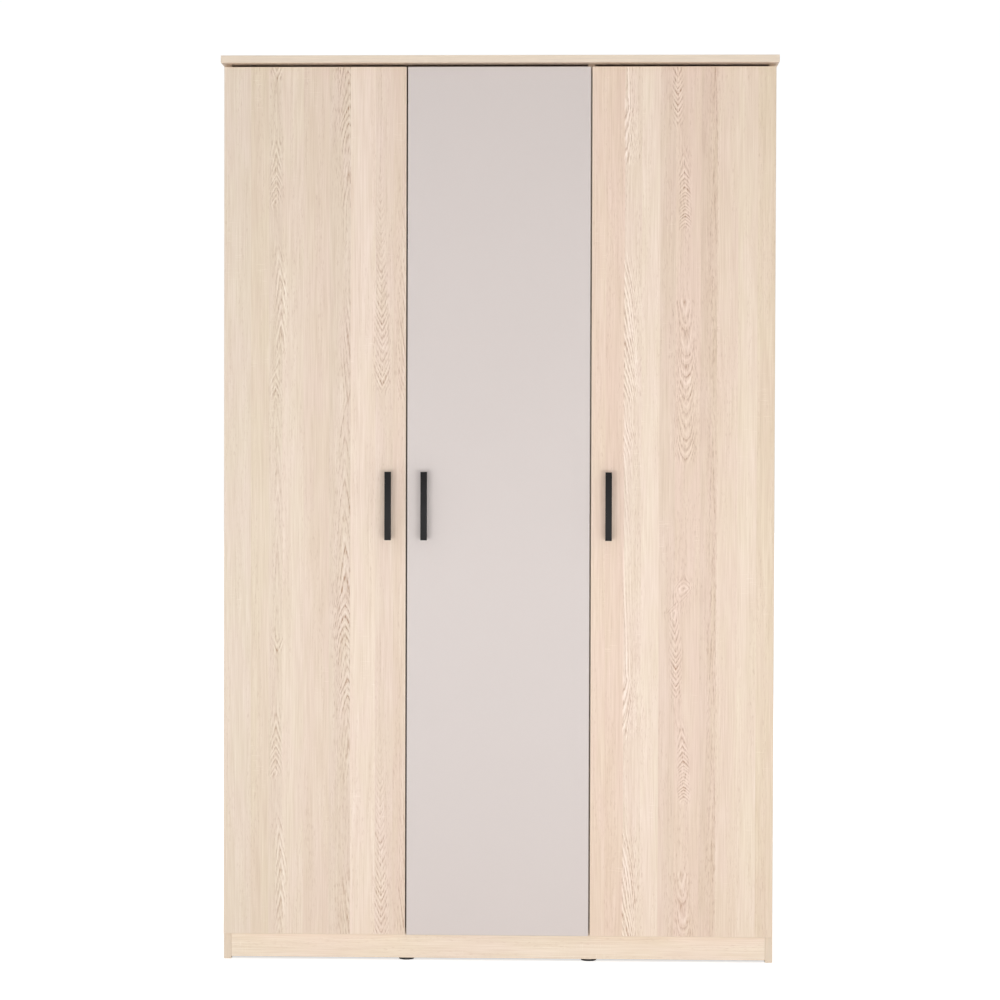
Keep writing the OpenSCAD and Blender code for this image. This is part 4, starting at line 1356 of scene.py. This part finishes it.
def nail_tree() -> GeometryTree:
    """The tree of a row of flat nail heads, spaced along the edges of the mesh that it is given."""
    number = "NodeSocketFloat"
    tree = GeometryTree("nail_rows", (
        ("Head Radius", number), ("Head Height", number), ("Spacing", number), ("Tilt", number),
        ("Seed", "NodeSocketInt"), ("Material", "NodeSocketMaterial"),
    ))
    g, given = tree.graph, tree.entry
    line = g.node("GeometryNodeMeshToCurve", {"Mesh": given["Geometry"]}).outputs[0]
    points = g.node(
        "GeometryNodeResampleCurve", {"Curve": line, "Length": given["Spacing"]}, mode="LENGTH"
    ).outputs[0]
    head = g.node(
        "GeometryNodeMeshCylinder",
        {"Vertices": 20, "Radius": given["Head Radius"], "Depth": given["Head Height"]},
    ).outputs[0]
    tilt = g.node("FunctionNodeRandomValue", {"Seed": given["Seed"]}, data_type="FLOAT_VECTOR")
    down = g.node("ShaderNodeVectorMath", {0: (-1.0, -1.0, -1.0)}, operation="SCALE")
    g.feed(down.inputs["Scale"], given["Tilt"])
    up = g.node("ShaderNodeVectorMath", {0: (1.0, 1.0, 1.0)}, operation="SCALE")
    g.feed(up.inputs["Scale"], given["Tilt"])
    g.feed(tilt.inputs["Min"], down.outputs[0])
    g.feed(tilt.inputs["Max"], up.outputs[0])
    lying = g.node("ShaderNodeVectorMath", {0: (math.pi / 2, 0.0, 0.0), 1: tilt.outputs[0]}, operation="ADD")
    placed = g.node(
        "GeometryNodeInstanceOnPoints",
        {"Points": points, "Instance": head, "Rotation": lying.outputs[0]},
    ).outputs[0]
    tree.close(placed)
    return tree


def solids_of(node: str) -> list[tuple[Vector, Vector]]:
    """The boxes of a node's separate solids.

    Args:
        node: The frame node's name.

    Returns:
        Each solid's lowest and highest corner.
    """
    mesh = bmesh.new()
    mesh.from_mesh(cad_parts[node].data)
    bmesh.ops.remove_doubles(mesh, verts=mesh.verts, dist=0.000004)
    boxes, seen = [], set()
    for start in mesh.verts:
        if start in seen:
            continue
        group, queue = [], [start]
        seen.add(start)
        while queue:
            vert = queue.pop()
            group.append(vert.co)
            for edge in vert.link_edges:
                other = edge.other_vert(vert)
                if other not in seen:
                    seen.add(other)
                    queue.append(other)
        low = Vector(min(point[axis] for point in group) for axis in range(3))
        high = Vector(max(point[axis] for point in group) for axis in range(3))
        boxes.append((low, high))
    mesh.free()
    return boxes


def points_mesh(name: str, points: Sequence[Vector], edges: Sequence[tuple[int, int]] = ()) -> bpy.types.Mesh:
    """A mesh of bare points and edges for a geometry tree to start from."""
    mesh = bpy.data.meshes.new(name)
    mesh.from_pydata([tuple(point) for point in points], list(edges), [])
    return mesh


@dataclass(frozen=True)
class Screws:
    """A set of cross-head screws in place of a node's plain ones.

    Attributes:
        node: The frame node that they replace.
        body: The body that they ride on.
        head: The height of a head in metres.
        shank: The radius of a shank in metres.
        axis: The direction of the shanks.
        sign: The way that the heads face along it, or 0 where it differs from screw to screw.
    """

    node: str
    body: Body
    head: float
    shank: float
    axis: Axis
    sign: int

    def build(self, tree: GeometryTree) -> bpy.types.Object:
        """Builds the set.

        Args:
            tree: The screws' geometry tree.

        Returns:
            The screws' piece.
        """
        groups: dict[tuple[int, int, int], list[Vector]] = {}
        sizes: dict[tuple[int, int, int], tuple[float, float]] = {}
        for low, high in solids_of(self.node):
            axis = self.axis.value
            sign = self.sign or (1 if low[axis] + high[axis] < 0 else -1)
            length = high[axis] - low[axis]
            across = max(high[other] - low[other] for other in range(3) if other != axis)
            middle = (low + high) / 2
            middle[axis] = (high[axis] if sign > 0 else low[axis]) - sign * self.head
            key = (sign, round(length / MM * 10), round(across / MM * 10))
            groups.setdefault(key, []).append(middle)
            sizes[key] = (length, across)
        parts = [
            self.grow(tree, key[0], sizes[key], points) for key, points in sorted(groups.items())
        ]
        return self.join(parts)

    def grow(self, tree: GeometryTree, sign: int, size: tuple[float, float],
             points: list[Vector]) -> bpy.types.Object:
        """Grows the screws of one size that face one way.

        Args:
            tree: The screws' geometry tree.
            sign: The way that the heads face.
            size: Their length and head diameter in metres.
            points: Where their heads sit.

        Returns:
            An object that holds them.
        """
        toward = Vector((0.0, 0.0, 0.0))
        toward[self.axis.value] = sign
        facing = toward.to_track_quat("Z", "Y").to_euler()
        return tree.grow(f"{self.node}_set", points_mesh(f"{self.node}_points", points), {
            "Head Radius": size[1] / 2, "Head Height": self.head, "Shank Radius": self.shank,
            "Shank Length": size[0] - self.head, "Thread Depth": self.shank * 0.16,
            "Facing": facing[:], "Seed": len(points), "Material": ZINC.material(),
        })

    def join(self, parts: list[bpy.types.Object]) -> bpy.types.Object:
        """Joins the sets of one body into one piece and puts it in the node's place."""
        mesh = bmesh.new()
        for part in parts:
            mesh.from_mesh(part.data)
            bpy.data.objects.remove(part)
        data = bpy.data.meshes.new(f"{self.node}_crosshead")
        mesh.to_mesh(data)
        mesh.free()
        data.materials.append(ZINC.material())
        made = bpy.data.objects.new(f"{self.node}_crosshead", data)
        bpy.context.scene.collection.objects.link(made)
        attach(made, self.body.value)
        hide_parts(self.node)
        return made


@dataclass(frozen=True)
class Fasteners:
    """All screws, and the nails that hold the back."""

    nail_spacing: float = 0.11
    nail_radius: float = 0.0022
    nail_head: float = 0.0007
    nail_line: float = 0.006

    def build(self) -> list[bpy.types.Object]:
        """Builds the screws of each body and the nails."""
        tree = screw_tree()
        door_bodies = {"left": Body.LEFT_DOOR, "centre": Body.CENTRE_DOOR, "right": Body.RIGHT_DOOR}
        sets = [
            Screws("wall_bracket_screws", Body.CARCASS, 0.0018, 0.0019, Axis.Z, -1),
            Screws("rail_socket_screws", Body.CARCASS, 0.0014, 0.0016, Axis.X, 0),
        ]
        for hand, body in door_bodies.items():
            sets.append(Screws(f"{hand}_handle_screws", body, 0.002, 0.0018, Axis.Y, 1))
            sets.append(Screws(f"{hand}_cup_screws", body, 0.0008, 0.0016, Axis.Y, 1))
        made = [screws.build(tree) for screws in sets]
        made.append(Solid("hinge_screws", ZINC, "zinc", radius=0.0002).build())
        made.append(self.nails())
        return made

    def nails(self) -> bpy.types.Object:
        """Builds the rows of nails along the back panels' edges."""
        lines: list[tuple[Vector, Vector]] = []
        inset, end = self.nail_line, 0.03
        for node in Back().nodes:
            low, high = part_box(node)
            y = high.y + self.nail_head / 2
            top, foot = high.z - inset, low.z + inset
            for z in (top, foot):
                lines.append((Vector((low.x + end, y, z)), Vector((high.x - end, y, z))))
            for x in self.upright_lines(node):
                lines.append((Vector((x, y, foot + 0.05)), Vector((x, y, top - 0.05))))
        points = [point for line in lines for point in line]
        edges = [(2 * place, 2 * place + 1) for place in range(len(lines))]
        made = nail_tree().grow("back_nails", points_mesh("nail_lines", points, edges), {
            "Head Radius": self.nail_radius, "Head Height": self.nail_head,
            "Spacing": self.nail_spacing, "Tilt": 0.02, "Seed": 4, "Material": ZINC.material(),
        })
        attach(made, Body.CARCASS.value)
        return made

    def upright_lines(self, node: str) -> list[float]:
        """Where nails run up a back panel: over a side panel or the partition.

        Args:
            node: The back panel's name.

        Returns:
            The x of each line.
        """
        low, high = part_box(node)
        found = []
        for upright in ("left_side_panel", "right_side_panel", "partition_panel"):
            first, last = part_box(upright)
            start, stop = max(low.x, first.x), min(high.x, last.x)
            if stop > start:
                found.append((start + stop) / 2)
        return found


@dataclass(frozen=True)
class Studio:
    """A pale floor, soft light and the camera."""

    camera_at: tuple[float, float, float] = (0.127, -5.2003, 1.0912)
    yaw: float = 0.0250
    pitch: float = -0.0168
    roll: float = 0.0028
    lens: float = 81.81
    floor_radius: float = 30.0
    sky: float = 0.52

    def build(self) -> None:
        """Builds the studio."""
        scene = bpy.context.scene
        scene.view_settings.view_transform = "Standard"
        self.floor()
        self.world(scene)
        self.light("left_light", (-1.2, -4.3, 0.4), (0.0, 0.0, 0.8), (1.5, 0.6), 40.0)
        self.light("right_light", (1.3, -4.3, 0.4), (0.0, 0.0, 0.8), (1.5, 0.6), 42.0)
        self.light("back_light", (0.5, 4.0, 3.2), (0.0, 0.0, 1.0), (3.0, 3.0), 48.0)
        scene.camera = self.camera()

    def floor(self) -> None:
        """Lays the floor."""
        mesh = bmesh.new()
        bmesh.ops.create_circle(mesh, cap_ends=True, segments=96, radius=self.floor_radius)
        data = bpy.data.meshes.new("studio_floor")
        mesh.to_mesh(data)
        mesh.free()
        material = bpy.data.materials.new("studio_floor")
        material.use_nodes = True
        graph = Graph(material.node_tree)
        shader = material.node_tree.nodes["Principled BSDF"]
        place = graph.node("ShaderNodeTexCoord").outputs["Object"]
        noise = graph.node("ShaderNodeTexNoise", {"Vector": place, "Scale": 3.0}).outputs[0]
        tone = graph.sum(0.90, graph.around(noise, 0.01))
        graph.feed(shader.inputs["Base Color"], tone)
        shader.inputs["Roughness"].default_value = 0.9
        shader.inputs["Emission Color"].default_value = (1.0, 1.0, 1.0, 1.0)
        seen = graph.node("ShaderNodeLightPath").outputs["Is Camera Ray"]
        graph.feed(shader.inputs["Emission Strength"], graph.times(seen, 0.65))
        data.materials.append(material)
        made = bpy.data.objects.new("studio_floor", data)
        bpy.context.scene.collection.objects.link(made)

    def world(self, scene: bpy.types.Scene) -> None:
        """Sets an even white surround, which the camera itself sees as pure white."""
        world = bpy.data.worlds.new("studio_surround")
        world.use_nodes = True
        world.node_tree.nodes.clear()
        graph = Graph(world.node_tree)
        seen = graph.node("ShaderNodeLightPath").outputs["Is Camera Ray"]
        strength = graph.sum(self.sky, graph.times(seen, 1.0 - self.sky + 0.02))
        ground = graph.node("ShaderNodeBackground", {"Color": (1.0, 1.0, 1.0, 1.0), "Strength": strength})
        graph.node("ShaderNodeOutputWorld", {"Surface": ground.outputs[0]})
        scene.world = world

    def light(self, name: str, at: tuple[float, float, float], toward: tuple[float, float, float],
              size: tuple[float, float], power: float) -> None:
        """Hangs one soft light.

        Args:
            name: Its name.
            at: Where it hangs.
            toward: The point that it faces.
            size: Its width and its height.
            power: Its power in watts.
        """
        data = bpy.data.lights.new(name, "AREA")
        data.shape = "RECTANGLE"
        data.size, data.size_y = size
        data.energy = power
        made = bpy.data.objects.new(name, data)
        made.location = at
        made.rotation_euler = (Vector(toward) - Vector(at)).to_track_quat("-Z", "Y").to_euler()
        bpy.context.scene.collection.objects.link(made)

    def camera(self) -> bpy.types.Object:
        """Sets up the camera by its place, turn and lens."""
        data = bpy.data.cameras.new("camera")
        data.lens = self.lens
        data.sensor_width = 36.0
        made = bpy.data.objects.new("camera", data)
        ahead = Vector((
            -math.sin(self.yaw) * math.cos(self.pitch), math.cos(self.yaw) * math.cos(self.pitch),
            math.sin(self.pitch),
        ))
        level = Vector((math.cos(self.yaw), math.sin(self.yaw), 0.0))
        upright = level.cross(ahead)
        right = level * math.cos(self.roll) + upright * math.sin(self.roll)
        up = upright * math.cos(self.roll) - level * math.sin(self.roll)
        made.matrix_world = Matrix.Translation(self.camera_at) @ Matrix((right, up, -ahead)).transposed().to_4x4()
        bpy.context.scene.collection.objects.link(made)
        return made


def main() -> None:
    """Builds the studio and then each sub-assembly, and reports every piece."""
    logging.basicConfig(level=logging.INFO, format="%(message)s")
    Studio().build()
    doors = [
        Door("left", Body.LEFT_DOOR, Body.LEFT_LINKS, LEFT_PRINT, ASH_EDGE, "ash_board"),
        Door("centre", Body.CENTRE_DOOR, Body.CENTRE_LINKS, GREY_FACE, GREY_EDGE, "grey_board"),
        Door("right", Body.RIGHT_DOOR, Body.RIGHT_LINKS, RIGHT_PRINT, ASH_EDGE, "ash_board"),
    ]
    for assembly in (Carcass(), *doors, Back(), Fittings(), Fasteners()):
        for piece in assembly.build():
            LOG.info("%s: %s, %d faces", type(assembly).__name__, piece.name, len(piece.data.polygons))


if __name__ == "__main__":
    main()
